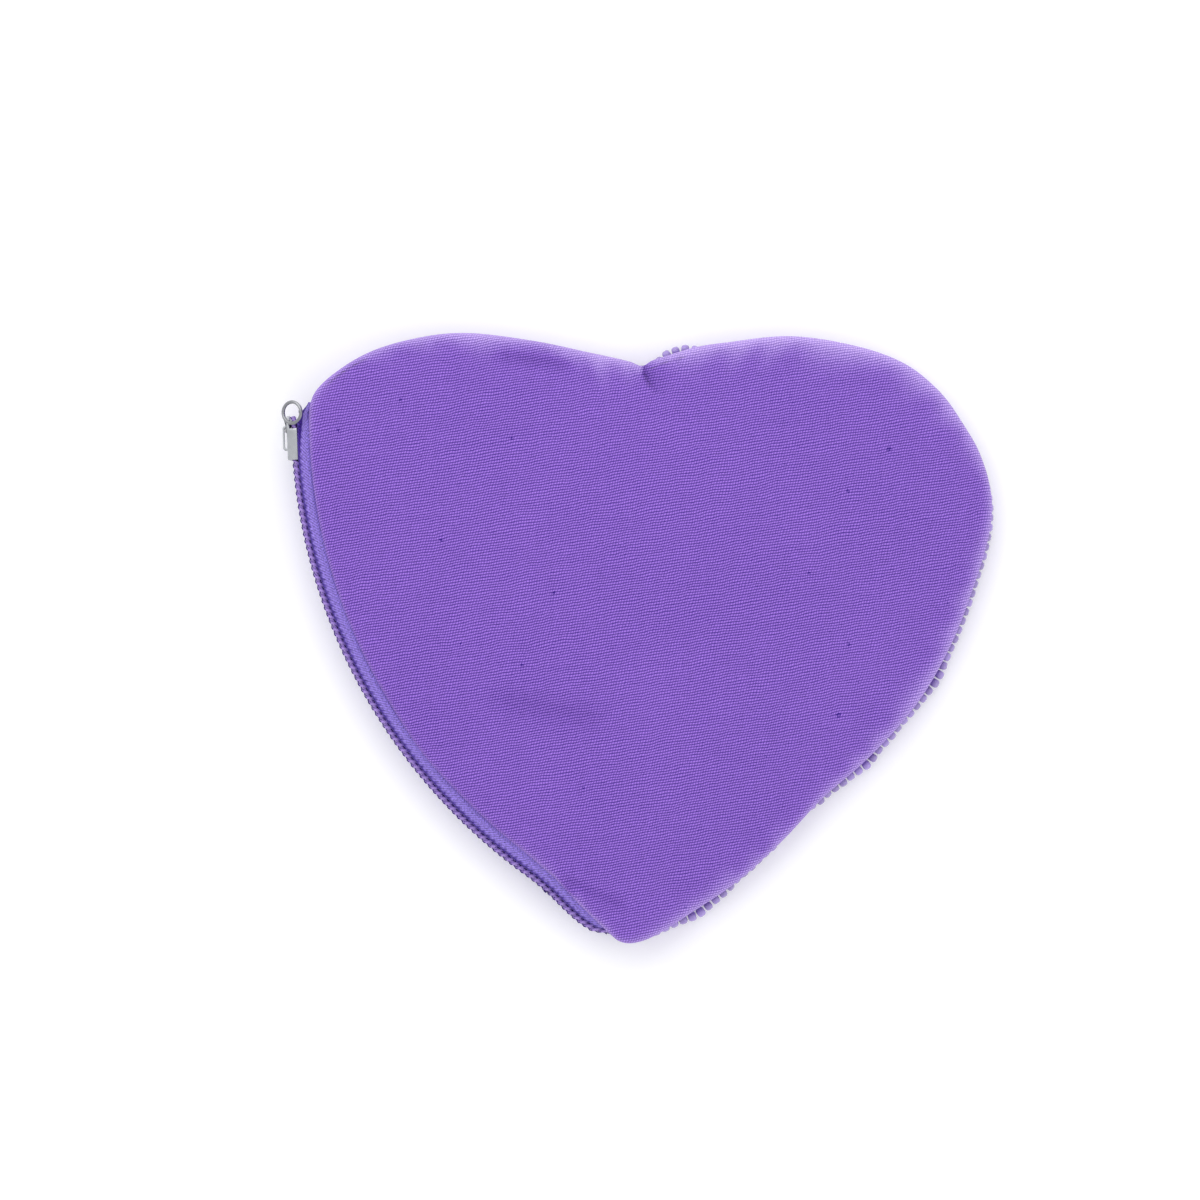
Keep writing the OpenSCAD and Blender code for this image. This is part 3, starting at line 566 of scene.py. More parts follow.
def floor_material(name, shade):
    """A plain pale panel, matt, with the least grain, that glows faintly like a light table, so
    that the shadow round the purse stays pale."""
    return clouded_material(name, shade, 6, 2, (0, 1, 0.995, 1.0), Roughness=0.9,
                            Specular_IOR_Level=0.1, Emission_Color=(1, 1, 1, 1),
                            Emission_Strength=0.09)[0]


# Back cloth

def roll_in(top):
    """How far in from the edge the cloth starts to roll over it: 2 mm round the padded sides,
    less along the zip by 0.9 times the share of the zip side's height."""
    return 2.0 - 0.9 * top


def back_dome(sizes, count):
    """The top of the back up to where it rolls over: a disc grid raised on the stack's foot by
    the stack's thickness."""
    disc = heart_disc(sizes, count, roll_in)
    height = foot_z(disc.spread / disc.reach, disc.top) + STACK_T
    return np.column_stack([disc.flat, height]), disc


# Where the sewn edge wanders in or out: degrees round the hub, half the width of the place in
# degrees, and how far out it lies in millimetres
EDGE_WAVES = ((83.5, 5.4, -0.75), (141, 5, -0.5), (214, 9, 0.35), (254.5, 5.5, 0.8),
              (288, 7, 0.35), (304, 10, 0.75))


def back_sheet(sizes, puffed):
    """The back's cloth: the dome, puffed by the cloth solver if asked, then rings that follow a
    quarter of an ellipse over the edge, the side down to the lower edge, and the hem turned
    under. Gives points, faces, places on the flat cloth, each point's distance in from the edge
    and how much painted shade it gets in a fold."""
    inner, disc = back_dome(sizes, CLOTH_CELLS)
    inset = disc.reach * (1 - disc.rho) + disc.inset * disc.rho
    if puffed:
        inner += swell(sizes, CLOTH_CELLS, 0.8)
    lift, fold = creases(inner, inset)
    inner[:, 2] += lift
    rim = rim_order(CLOTH_CELLS)
    reach, top, low, ray, roll = (
        column[rim] for column in (disc.reach, disc.top, disc.low, disc.ray, disc.inset))
    around = np.degrees(np.arctan2(ray[:, 1], ray[:, 0])) % 360
    for middle, half, more in EDGE_WAVES:
        reach = reach + more * np.exp(-((around - middle) / half) ** 2)
    brim = inner[rim, 2]
    low_z = LOW_SEAM_Z + (LOW_ZIP_Z - LOW_SEAM_Z) * low
    drop = np.minimum(ROLL_DROP, brim - low_z - 0.25)
    side = brim - drop
    turn = np.linspace(0, math.pi / 2, 8)[1:]
    profile = [(roll * (1 - math.sin(q)), brim - drop * (1 - math.cos(q))) for q in turn]
    profile += [(0.02, side + (low_z - side) * 0.5), (0.10, low_z + 0.12), (0.30, low_z),
                (HEM_W * 0.6, low_z), (HEM_W, low_z + 0.05)]
    before = (roll, brim)
    rings, cloth, insets, run = [], [], [], np.zeros(len(rim))
    for k, (far, z) in enumerate(profile):
        far = np.broadcast_to(far, z.shape)
        run = run + np.hypot(far - before[0], z - before[1])
        before = (far, z)
        rings.append(np.column_stack([disc.hub + (reach - far)[:, None] * ray, z]))
        cloth.append(disc.hub + (reach - roll + run)[:, None] * ray)
        insets.append(far if k < len(turn) else np.full(len(rim), 0.6))
    faces = np.vstack([grid_quads(CLOTH_CELLS + 1, CLOTH_CELLS + 1),
                       ring_quads(rim, len(inner), len(rings))])
    fold = np.concatenate([fold, np.tile(fold[rim], len(rings))])
    return (np.vstack([inner, *rings]), faces, np.vstack([disc.flat, *cloth]),
            np.concatenate([inset, *insets]), fold)


def swell(sizes, count, lift):
    """How far the padding lifts the cloth at each point of the disc grid. A coarse pad, the
    dome closed by a flat underside 3 mm below its rim, is cut a little too large, stitched down
    along the rim and all over the underside, and run through the cloth solver with air pressure
    inside. Its lift is capped, read off at the fine grid's points by straight interpolation and
    averaged with its neighbours a few times, so that the coarse pad's cells don't show."""
    dome = back_dome(sizes, PAD_CELLS)[0]
    n = len(dome)
    mesh = bpy.data.meshes.new("pad_trial")
    mesh.from_pydata((np.vstack([dome, dome - np.array([0, 0, 3.0])]) * MM).tolist(), [],
                     slab_quads(PAD_CELLS).tolist())
    pad = bpy.data.objects.new("pad_trial", mesh)
    scene = bpy.context.scene
    scene.collection.objects.link(pad)
    held = pad.vertex_groups.new(name="stitched")
    held.add(rim_order(PAD_CELLS).tolist() + list(range(n, 2 * n)), 1.0, "REPLACE")
    cloth = pad.modifiers.new("cloth", "CLOTH")
    for key, value in {
            "quality": 6, "mass": 0.3, "tension_stiffness": 15, "compression_stiffness": 15,
            "shear_stiffness": 5, "bending_stiffness": 0.5, "shrink_min": -0.0012,
            "shrink_max": -0.0012, "use_pressure": True, "uniform_pressure_force": 4,
            "vertex_group_mass": "stitched"}.items():
        setattr(cloth.settings, key, value)
    cloth.settings.effector_weights.gravity = 0
    cloth.collision_settings.use_collision = False
    cloth.point_cache.frame_start, cloth.point_cache.frame_end = 1, 20
    for number in range(1, 21):
        scene.frame_set(number)
    solved = pad.evaluated_get(bpy.context.evaluated_depsgraph_get()).to_mesh()
    moved = np.zeros(len(mesh.vertices) * 3)
    solved.vertices.foreach_get("co", moved)
    scene.frame_set(1)
    bpy.data.objects.remove(pad)
    shift = moved.reshape(-1, 3)[:n] / MM - dome
    far = np.linalg.norm(shift, axis=1, keepdims=True)
    shift *= lift * np.tanh(far / lift) / np.maximum(far, 1e-9)
    shift = shift.reshape(PAD_CELLS + 1, PAD_CELLS + 1, 3)
    spots = np.linspace(0, PAD_CELLS, count + 1)
    low = np.minimum(spots.astype(int), PAD_CELLS - 1)
    part = (spots - low)[:, None]
    rows = shift[low] * (1 - part[..., None]) + shift[low + 1] * part[..., None]
    fine = rows[:, low] * (1 - part) + rows[:, low + 1] * part
    for _ in range(8):
        fine[1:-1] = (fine[:-2] + 2 * fine[1:-1] + fine[2:]) / 4
        fine[:, 1:-1] = (fine[:, :-2] + 2 * fine[:, 1:-1] + fine[:, 2:]) / 4
    return fine.reshape(-1, 3)


# Creases as a start, an end, a width and a height, in millimetres: beside the upper left edge,
# low on the left and at the tip
CREASES = (
    (-28.0, 55.4, -12.5, 53.0, 1.3, 0.40), (-27.0, 53.2, -13.0, 51.4, 1.2, -0.32),
    (-27.0, -11.6, -7.0, -15.4, 2.4, -0.30), (-25.0, -15.5, -9.0, -18.6, 2.6, 0.16),
    (-15.5, -45.0, -3.0, -50.5, 1.0, -0.40), (-13.0, -47.5, 2.0, -52.3, 1.1, 0.30),
)
CLEFT_X, CLEFT_Y = 0.2, 52.6


def creases(points, inset):
    """Folds that show on the back, as millimetres of height. Each crease is a bell across its
    line that fades at both ends. At the cleft the right side drops steeply from a line that
    bends down and to the right, and climbs back slowly. Along the edge the seam's stitches pull
    small puckers. Gives the height, and how much painted shade each point gets in the folds,
    from 0 to 1."""
    x, y = points[:, 0], points[:, 1]
    z, valley = np.zeros(len(x)), np.zeros(len(x))
    for x0, y0, x1, y1, width, high in CREASES:
        dx, dy = x1 - x0, y1 - y0
        length = math.hypot(dx, dy)
        along = ((x - x0) * dx + (y - y0) * dy) / length ** 2
        off = ((x - x0) * dy - (y - y0) * dx) / length
        ends = smooth(along * 3 + 0.5) * smooth((1 - along) * 3 + 0.5)
        bell = np.exp(-(off / width) ** 2) * ends
        z += high * bell
        # Painted shade in the valley of each crease that dips.
        valley += max(-high, 0) * 0.6 * bell
    down = np.clip(CLEFT_Y - y, 0, None)
    off = x - (CLEFT_X + 0.075 * down ** 2)
    near = smooth((8.0 - down) / 5)
    right = np.clip(off, 0, None)
    z -= 1.5 * smooth(off / 0.9 + 0.5) * np.exp(-right / 3.0) * near
    # Painted shade along the cleft's line and on the lower side to its right.
    fold = (0.22 * np.exp(-((off - 0.1) / 0.4) ** 2)
            + 0.50 * smooth(off / 0.5 + 0.3) * np.exp(-right / 2.1)) * near
    around = np.arctan2(y - HUB_Y, x)
    band = np.exp(-((inset - 3.2) / 1.9) ** 2)
    pulls = np.sin(around * 83 + 2.0 * np.sin(around * 5)) * (0.6 + 0.4 * np.sin(around * 4))
    z += 0.09 * band * pulls
    return z * smooth(inset / 1.0), np.clip(fold + valley, 0, 1)


# The painted highlight round the edge: degrees round the hub, then how far in it reaches in
# millimetres, and how strong it is at the edge
EDGE_LIGHT_SHARES = np.array([
    [-180, 0.6, 0.06], [-122, 0.6, 0.06], [-105, 0.7, 0.45], [-90, 0.8, 0.50], [-80, 1.7, 0.65],
    [-65, 1.0, 0.65], [-45, 0.9, 0.60], [-30, 1.4, 0.65], [-18, 1.7, 0.70], [0, 1.5, 0.65],
    [20, 1.1, 0.60], [35, 2.0, 0.75], [50, 2.6, 0.95], [65, 2.4, 0.95], [80, 2.1, 0.90],
    [90, 1.4, 0.75], [100, 2.4, 0.90], [110, 1.4, 0.70], [120, 2.3, 0.90], [130, 1.5, 0.70],
    [145, 1.0, 0.45], [155, 0.6, 0.15], [180, 0.6, 0.06],
])


def painted_light(points, inset):
    """How strong the painted highlight along the edge is at each point: the strength at the edge,
    falling away inwards as the exponential of the distance over the reach, both read off between
    the named angles."""
    around = np.arctan2(points[:, 1] - HUB_Y, points[:, 0])
    reach, strength = (np.interp(around, np.radians(EDGE_LIGHT_SHARES[:, 0]), column)
                       for column in EDGE_LIGHT_SHARES[:, 1:].T)
    reach = reach * (1 + 0.2 * np.sin(around * 37 + 2 * np.sin(around * 11)))
    return strength * np.exp(-(inset / reach) ** 1.3)


class PURSE_OT_back_cloth(bpy.types.Operator):
    """Sews the padded back panel of woven cotton, rolled over its edge"""
    bl_idname = "purse.back_cloth"
    bl_label = "Back cloth"

    def execute(self, context):
        sizes, colours = context.scene.purse_sizes, context.scene.purse_colours
        points, faces, place, inset, fold = back_sheet(sizes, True)
        cotton = woven_material("Cotton, plain woven and dyed", colours.cotton, sizes.thread,
                                math.radians(10), 0.9, 0.32, 0.7, 0.20)
        # The shade attribute is a painted highlight along the rolled edge, and painted shade in
        # the folds.
        obj = put_mesh("back_cloth", points, faces, cotton, uv=place,
                       shade=painted_light(points, inset) * (1 - fold) - fold)
        seat(obj, "cotton", "back_panel", "lip_panel", "back_padding", "lip_padding", body=None)
        return {"FINISHED"}


# Layers inside, and the front's ground cloth

def cut_area(points, faces):
    """The area in square metres of a sheet of four-sided faces: half the length of the product
    of each one's two diagonals."""
    corner = (points * MM)[np.asarray(faces)]
    cross = np.cross(corner[:, 2] - corner[:, 0], corner[:, 3] - corner[:, 1])
    return float(np.linalg.norm(cross, axis=1).sum() / 2)


def flat_layer(sizes, name, material, inset, height, thick, shift):
    """A heart shaped layer and its area: a disc grid at a height, which is a number or a
    function of the disc, its copy below, and a wall round the rim."""
    disc = heart_disc(sizes, LAYER_CELLS, inset)
    z = height(disc) if callable(height) else np.full(len(disc.rho), height)
    points = np.column_stack([disc.flat, z])
    area = cut_area(points, grid_quads(LAYER_CELLS + 1, LAYER_CELLS + 1))
    points = points + np.array([*shift, 0])
    points = np.vstack([points, points - np.array([0, 0, thick])])
    return put_mesh(name, points, slab_quads(LAYER_CELLS), material, uv=points[:, :2]), area


# The front cloth's turned edge: how far in and how high each ring lies away from the zip, and
# the same two beside the zip
FRONT_EDGE = ((2.2, 1.94, 2.2, 1.94), (1.85, 2.1, 1.9, 2.05), (1.65, 2.5, 1.85, 2.2),
              (1.45, 3.0, 1.95, 2.3), (1.25, 3.5, 2.3, 2.32), (1.35, 3.8, 2.8, 2.33),
              (2.4, 3.84, 3.4, 2.34))


def front_ground(sizes):
    """The front's ground cloth: flat under the beads, then turned up round its edge. Away from
    the zip the turned edge climbs to the back panel's lower edge and folds in along the seam.
    Along the zip it stays low and folds in over the zip's tape."""
    disc = heart_disc(sizes, LAYER_CELLS, 2.6)
    flat = disc.flat + FRONT_SHIFT
    inner = np.column_stack([flat, np.full(len(flat), 1.92)])
    rim = rim_order(LAYER_CELLS)
    reach, top, ray = disc.reach[rim], disc.top[rim], disc.ray[rim]
    seam = smooth(1 - top * 2.5)
    rings, cloth, run = [], [], 2.6
    for k, (inset, z, inset_zip, z_zip) in enumerate(FRONT_EDGE):
        inset = inset * seam + inset_zip * (1 - seam)
        z = z * seam + z_zip * (1 - seam)
        moved = FRONT_SHIFT * (1 - seam * min(k / 6, 1))[:, None]
        rings.append(np.column_stack([disc.hub + (reach - inset)[:, None] * ray + moved, z]))
        run -= 0.45
        cloth.append(disc.hub + (reach - run)[:, None] * ray)
    faces = np.vstack([grid_quads(LAYER_CELLS + 1, LAYER_CELLS + 1)[:, ::-1],
                       ring_quads(rim, len(inner), len(rings), True)])
    return np.vstack([inner, *rings]), faces, np.vstack([flat, *cloth])


class PURSE_OT_inner_layers(bpy.types.Operator):
    """Lays the linings, the front's wadding and the front's ground cloth with its seam"""
    bl_idname = "purse.inner_layers"
    bl_label = "Linings, wadding and front cloth"

    def execute(self, context):
        sizes, colours = context.scene.purse_sizes, context.scene.purse_colours
        lawn = woven_material("Lining, thin plain cotton", colours.lining, 0.00034, 0.0, 0.85,
                              0.2, 0.4, 0.10)
        back, area = flat_layer(
            sizes, "back_lining_cloth", lawn, 1.9,
            lambda disc: foot_z(disc.spread / disc.reach, disc.top) + 0.22, 0.2, (0, 0))
        seat(back, "lining", "back_lining", "lip_lining", body=None)

        front, area = flat_layer(sizes, "front_lining_cloth", lawn, 4.0, 3.58, 0.2, FRONT_SHIFT)
        seat(front, "lining", "front_lining")

        wadding = woven_material("Wadding, bonded polyester", linear("F1EEE6"), 0.0009, 0.4,
                                 0.95, 0.4, 0.3, 0.05)
        pad = flat_layer(sizes, "front_wadding", wadding, 6.8, 3.24, 0.85, FRONT_SHIFT)[0]
        seat(pad, "wadding", "front_padding")

        ground = woven_material("Ground cloth, plain woven cotton", colours.cotton,
                                sizes.thread, math.radians(4), 0.88, 0.3, 0.5, 0.12)
        points, faces, place = front_ground(sizes)
        cloth = put_mesh("front_cloth", points, faces, ground, uv=place)
        seat(cloth, "cotton", "front_panel", "seam_allowance")
        return {"FINISHED"}


# Beads

BEAD_L, BEAD_HOLE, EDGE_ROW_IN = 1.55, 0.6, 0.75
OUTER_Z, SECOND_Z, FIELD_Z = 1.80, 0.98, 0.93

# Where the outer rows hang loose: the angle round the middle, half the width of the place, both
# in radians, and how far out they hang in millimetres
LOOSE_BEADS = ((-1.55, 0.13, -0.9), (-1.37, 0.08, 0.8), (-0.80, 0.11, -0.5), (-0.52, 0.09, 0.35),
               (-0.35, 0.07, 0.4), (-0.13, 0.08, 0.85))


def bead_shape(length, width, hole, around):
    """A seed bead turned about its thread, which runs along X: a barrel with rounded ends and a
    hole."""
    half = length / 2
    right = np.array([[half * 0.92, hole / 2], [half, hole / 2 + width * 0.10],
                      [half * 0.86, width * 0.40], [half * 0.45, width * 0.5]])
    section = np.vstack([right, right[::-1] * np.array([-1, 1])])
    angle = np.arange(around) * WHOLE_TURN / around
    x = np.repeat(section[:, :1], around, 1)
    y = section[:, 1:] * np.cos(angle)
    z = section[:, 1:] * np.sin(angle)
    return np.stack([x, y, z], -1).reshape(-1, 3), grid_quads(len(section), around, True)


def string_beads(name, node, centres, heading, sizes, material, seed, around):
    """Copies a bead to every centre, turned to its thread, each a little different in length
    and tint."""
    random = np.random.default_rng(seed)
    shape, faces = bead_shape(BEAD_L, sizes.bead / MM, BEAD_HOLE, around)
    n, count = len(centres), len(shape)
    shape = shape[None] * (1 + random.uniform(-0.06, 0.04, (n, 1, 1)))
    tilt = random.uniform(-0.10, 0.10, n)
    c, s = np.cos(heading + tilt)[:, None], np.sin(heading + tilt)[:, None]
    x = shape[..., 0] * c - shape[..., 1] * s
    y = shape[..., 0] * s + shape[..., 1] * c
    points = np.stack([x, y, shape[..., 2]], -1) + centres[:, None]
    faces = (faces[None] + (np.arange(n) * count)[:, None, None]).reshape(-1, 4)
    shade = np.repeat(random.uniform(0, 1, n), count)
    seat(put_mesh(name, points.reshape(-1, 3), faces, material, shade=shade), "beads", node)


def bead_line(sizes, inset, z, phase):
    """Centres and headings of a row of beads at even steps along the front's edge. It wavers by
    three sines that are strongest at the lower right, hangs loose at the named places, and
    stands 1.8 mm out beside the cleft."""
    line = sideways(outline(sizes, EDGE_POINTS) + np.array([*FRONT_SHIFT, 0, 0]), inset)
    around = np.arctan2(line[:, 1], line[:, 0])
    loose = (0.36 * np.sin(around * 9 + 1.0) + 0.28 * np.sin(around * 23)
             + 0.14 * np.sin(around * 51 + 2.0) - 0.25)
    loose = loose * np.exp(-((around + 0.8) / 0.8) ** 2)
    for middle, half, more in LOOSE_BEADS:
        loose = loose + more * np.exp(-((around - middle) / half) ** 2)
    line *= 1 + (loose / np.hypot(*line.T))[:, None]
    line[:, 1] += 1.8 * np.exp(-((line[:, 0] - 7.5) / 4.0) ** 4) * (line[:, 1] > 40)
    whole = np.hypot(*(np.roll(line, -1, 0) - line).T).sum()
    count = int(whole / (sizes.bead_pitch / MM))
    spots = resample(line, count * 8)
    centres, after, before = (s[phase::8][:count]
                              for s in (spots, np.roll(spots, -4, 0), np.roll(spots, 4, 0)))
    ahead = after - before
    return np.column_stack([centres, np.full(count, z)]), np.arctan2(ahead[:, 1], ahead[:, 0])


class PURSE_OT_beaded_front(bpy.types.Operator):
    """Strings the seed beads of the front: two rows round the edge, then rows across"""
    bl_idname = "purse.beaded_front"
    bl_label = "Beaded front"

    def execute(self, context):
        sizes, colours = context.scene.purse_sizes, context.scene.purse_colours
        glass = bead_material("Seed beads, tumbled glass with lustre", colours.bead)
        pitch, row = sizes.bead_pitch / MM, sizes.row_pitch / MM
        for name, node, inset, z, phase in (
                ("outer_beads", "bead_row_outer", EDGE_ROW_IN, OUTER_Z, 0),
                ("second_beads", "bead_row_second", EDGE_ROW_IN + row, SECOND_Z, 4)):
            centres, heading = bead_line(sizes, inset, z, phase)
            string_beads(name, node, centres, heading, sizes, glass, 3 + phase, 10)
        half_w, half_h = half_size(sizes)
        rows = np.arange(-half_h, half_h, row)
        x, y = np.meshgrid(np.arange(-half_w, half_w, pitch), rows)
        x = x + (np.arange(len(rows)) % 2)[:, None] * pitch / 2
        spots = np.stack([x.ravel(), y.ravel()], 1)
        inner = sideways(outline(sizes, EDGE_POINTS // 2), EDGE_ROW_IN + 2 * row)
        hub, angle, reach, _ = from_hub(sizes, inner)
        at = spots - hub
        limit = np.interp(np.arctan2(at[:, 1], at[:, 0]), angle, reach, period=WHOLE_TURN)
        spots = spots[np.hypot(*at.T) < limit + 0.12] + FRONT_SHIFT
        centres = np.column_stack([spots, np.full(len(spots), FIELD_Z)])
        string_beads("field_beads", "bead_field", centres, np.zeros(len(spots)), sizes, glass,
                     11, 7)
        return {"FINISHED"}


# Zip

# The tape's section as it leaves the coil: distance out from the chain's middle, and height
TAPE_FACE, TAPE_BEND, TAPE_EDGE = -0.80, -3.0, -6.3
TAPE_TOP = TAPE_FOLD + 0.65
TAPE_SECTION = ((TAPE_FACE, 0.45), (TAPE_FACE, 1.6), (TAPE_FACE, 2.9), (-0.86, 3.4),
                (-1.08, 3.72), (-1.5, 3.9), (-2.2, TAPE_TOP - 0.12), (TAPE_BEND, TAPE_TOP))

# The coil's oval: half its depth out from the chain and half its height, and the height of its
# middle over the chain's. Past the slider's wedge the coils close between two lengths.
COIL_DEPTH, LOOP_HALF, LOOP_MID = 0.51, 0.985, 0.875
COILS_APART, WEDGE_START, WEDGE_END = 0.75, 3.52, 6.13


def tape_section(side, rise):
    """Half turn of the zip tape in its own section: up behind the coil, over the slider's edge
    and in to the panel. side is 1 for the back's tape and -1 for the front's, and rise is how
    much higher its inner edge lies."""
    line = np.array([*TAPE_SECTION, (-4.2, TAPE_TOP + rise * 0.4), (TAPE_EDGE, TAPE_TOP + rise)])
    return resample(line, 26, closed=False) * np.array([1, side])


def tape_pull(lengths):
    """How far the tape's roll is drawn in to the panel's edge near the top of the zip: a share
    that climbs smoothly over the last 12 mm."""
    return 0.9 * smooth((12.0 - lengths) / 14.0) ** 1.3


def tape_sheet(sizes, side, rise):
    """The tape's section carried along the chain. Its strip narrows by a third down the tail,
    its inner flange ends at the mouth's ends, and at the zip's top it is drawn in to the panel
    and tucked under. Gives points, faces, places on the flat tape, and how much painted shade
    each point gets in the groove beside the coil and along the cloth's edge."""
    whole = mouth_length(sizes)
    pitch = sizes.coil_pitch / MM
    lengths = np.linspace(-1.5, whole + TAIL_L - 0.7, 520)
    along = lengths[:, None]
    wide = tape_section(side, rise)
    far, high = wide[None, :, 0], np.abs(wide[None, :, 1])
    flange = wide[:, 0] < TAPE_BEND
    last = int(np.argmax(flange)) - 1
    strip = 1 - smooth(np.clip((along - whole) / TAIL_L, 0, 1)) * 0.35
    out = TAPE_FACE + (far - TAPE_FACE) * strip
    keep = smooth(np.minimum(along - 0.7, whole + 2 - along) / 5)
    out = np.where(flange, far * keep + out[:, last:last + 1] * (1 - keep), out)
    head = smooth((3.2 - along) / 5.4)
    pull = np.maximum(tape_pull(along) * smooth((high - 2.9) / 0.6), head * 0.92)
    out = np.where(flange, out, out - pull * (2.15 + 0.93 * out))
    out = out - 0.9 * smooth((1.2 - along) / 2.7)
    points = by_chain(sizes, np.broadcast_to(along, out.shape), out,
                      np.broadcast_to(ZIP_Z + wide[None, :, 1], out.shape))
    # Painted shade in the groove beside the coil, scalloped once a turn, half as strong low on the
    # tape's wall.
    painted_shade = 1 - smooth((-far - 0.08 * np.cos(along / pitch * WHOLE_TURN) - 1.03) / 0.24)
    painted_shade = painted_shade * (0.5 + 0.5 * smooth((high - 2.7) / 0.5))
    # Painted shade along the cloth's edge, where the cloth overhangs the tape.
    tucked = 0.30 + 0.16 * np.sin(along / 9) + 0.10 * np.sin(along / 2.3)
    painted_shade = painted_shade + tucked * smooth((-out - 2.66) / 0.2)
    place = np.stack(np.broadcast_arrays(along, run_along(wide)[None]), -1).reshape(-1, 2)
    faces = grid_quads(len(lengths), len(wide))
    return points.reshape(-1, 3), faces if side > 0 else faces[:, ::-1], place, painted_shade.ravel()


class PURSE_OT_zip_tapes(bpy.types.Operator):
    """Weaves the zip's two tapes and bends them along the mouth"""
    bl_idname = "purse.zip_tapes"
    bl_label = "Zip tapes"

    def execute(self, context):
        sizes, colours = context.scene.purse_sizes, context.scene.purse_colours
        tape = twill_material("Zip tape, woven polyester twill", colours.tape, 0.0006)
        for name, side, rise, nodes, body, under in (
                ("back_tape", 1, 0.2, ("lip_tape", "back_tape_ends"), None, "back_cloth"),
                ("front_tape_cloth", -1, 0.0, ("front_tape",), "pouch", "front_cloth")):
            points, faces, place, painted_shade = tape_sheet(sizes, side, rise)
            obj = put_mesh(name, points, faces, tape, uv=place, shade=painted_shade)
            thick = obj.modifiers.new("thickness", "SOLIDIFY")
            thick.thickness = TAPE_T * MM
            thick.offset = -1
            seat(obj, "tape", *nodes, body=body)
        return {"FINISHED"}


def parted(run):
    """How far a coil stands off its place beside the slider's wedge, by the length along the
    chain: a smooth step down from the wedge's start to its end."""
    return COILS_APART * smooth((WEDGE_END - run) / (WEDGE_END - WEDGE_START))


def coil_path(sizes, side, steps):
    """The coil's wire. Over each turn the height swings from the head at the chain's middle to
    the root and back, the outward place swings from face to face, and the step along the chain
    is held back at the head so that each loop stands square there."""
    pitch = sizes.coil_pitch / MM
    whole = mouth_length(sizes)
    turns = int((whole + TAIL_L) / pitch) - 1
    a = np.arange(0, turns * steps + 1) / steps * WHOLE_TURN + WHOLE_TURN
    run = (pitch * (a / 2 / math.pi - 0.9 * np.sin(a) / 2 / math.pi)
           + (0 if side > 0 else pitch / 2))
    z = LOOP_MID - LOOP_HALF * np.cos(a) + parted(run)
    path = by_chain(sizes, run, COIL_DEPTH * np.sin(a), ZIP_Z + side * z)
    outward = chain_path(sizes, run)[1]
    up = np.column_stack([outward * np.sin(a)[:, None], side * -np.cos(a)])
    return path, up, run


def oval_cord(sizes, lengths, z, half_out, half_z, sides=8):
    """The cord inside a coil: an ellipse carried along the chain, with its half widths outwards
    and upwards, and flat caps."""
    turn = np.arange(sides) * WHOLE_TURN / sides
    out = np.broadcast_to(half_out * np.cos(turn), (len(lengths), sides))
    height = z[:, None] - half_z * np.sin(turn)
    points = by_chain(sizes, np.broadcast_to(lengths[:, None], out.shape), out, height)
    return points.reshape(-1, 3), capped_quads(len(lengths), sides)


def stitches(sizes, side, run):
    """The thread that holds a coil and the seam beside the zip: two threads along the chain
    that waver once a turn of the coil."""
    step = np.linspace(run[0], run[-1], 1100)
    wave = np.cos(step / (sizes.coil_pitch / MM) * WHOLE_TURN)
    up = np.tile([0, 0, 1.0], (len(step), 1))
    outer = by_chain(sizes, step, COIL_DEPTH + 0.04 + 0.13 * wave,
                     ZIP_Z + side * (LOOP_MID + 0.78 + parted(step) + 0.1 * wave))
    # The seam thread lies dark and thick in the gap between the coil and the tape: sewn thread
    # that also serves as painted shade for that gap.
    seam = by_chain(sizes, step, -1.02 - 1.1 * tape_pull(step) - 0.05 * wave,
                    ZIP_Z + side * (TAPE_FOLD + 0.13 + 0.03 * wave))
    return merge([tube(outer, 0.10, 5, up), tube(seam, 0.20, 6, up)])


def thread_bars(sizes):
    """Three threads side by side across each end of the mouth: straight behind the coils at the
    zip's top, and bowed round their front at its lower end."""
    whole = mouth_length(sizes)
    straight, bowed = np.full(24, -0.95), 0.70 + 0.12 * np.cos(np.linspace(-1.4, 1.4, 24))
    bars = []
    for first, half, out in ((0.05, 2.9, straight), (whole + 0.05, 2.1, bowed)):
        for k in range(3):
            run = np.full(24, first + 0.5 * (k + 0.5) / 3)
            path = by_chain(sizes, run, out, ZIP_Z + np.linspace(-half, half, 24))
            outward = np.column_stack([chain_path(sizes, run)[1], np.zeros(24)])
            bars.append(tube(path, 0.14, 6, outward))
    return merge(bars)


class PURSE_OT_zip_coils(bpy.types.Operator):
    """Winds the zip's two coils, with the cord inside each, the stitches that hold it and the
    bars of thread across the ends"""
    bl_idname = "purse.zip_coils"
    bl_label = "Zip coils"

    def execute(self, context):
        sizes, colours = context.scene.purse_sizes, context.scene.purse_colours
        nylon = nylon_material("Nylon monofilament, wound", colours.coil)
        yarn = thread_material("Polyester thread, twisted", colours.thread)
        for name, side, nodes, body in (
                ("back_coil", 1, ("lip_coil", "back_coil_ends"), None),
                ("front_coil_wire", -1, ("front_coil",), "pouch")):
            path, up, run = coil_path(sizes, side, 14)
            wire = put_mesh(name, *tube(path, sizes.wire / MM / 2, 8, up), nylon)
            seat(wire, "coil", *nodes, body=body)
            lengths = np.linspace(run[0], run[-1], 300)
            core = oval_cord(sizes, lengths, ZIP_Z + side * (LOOP_MID + 0.20 + parted(lengths)),
                             0.30, 0.52)
            seat(put_mesh(name + "_core", *core, nylon), "coil", body=body)
            seat(put_mesh(name + "_cord", *stitches(sizes, side, run), yarn), "thread", body=body)
        seat(put_mesh("end_bars", *thread_bars(sizes), yarn), "thread", "end_tacks")
        return {"FINISHED"}


# Slider

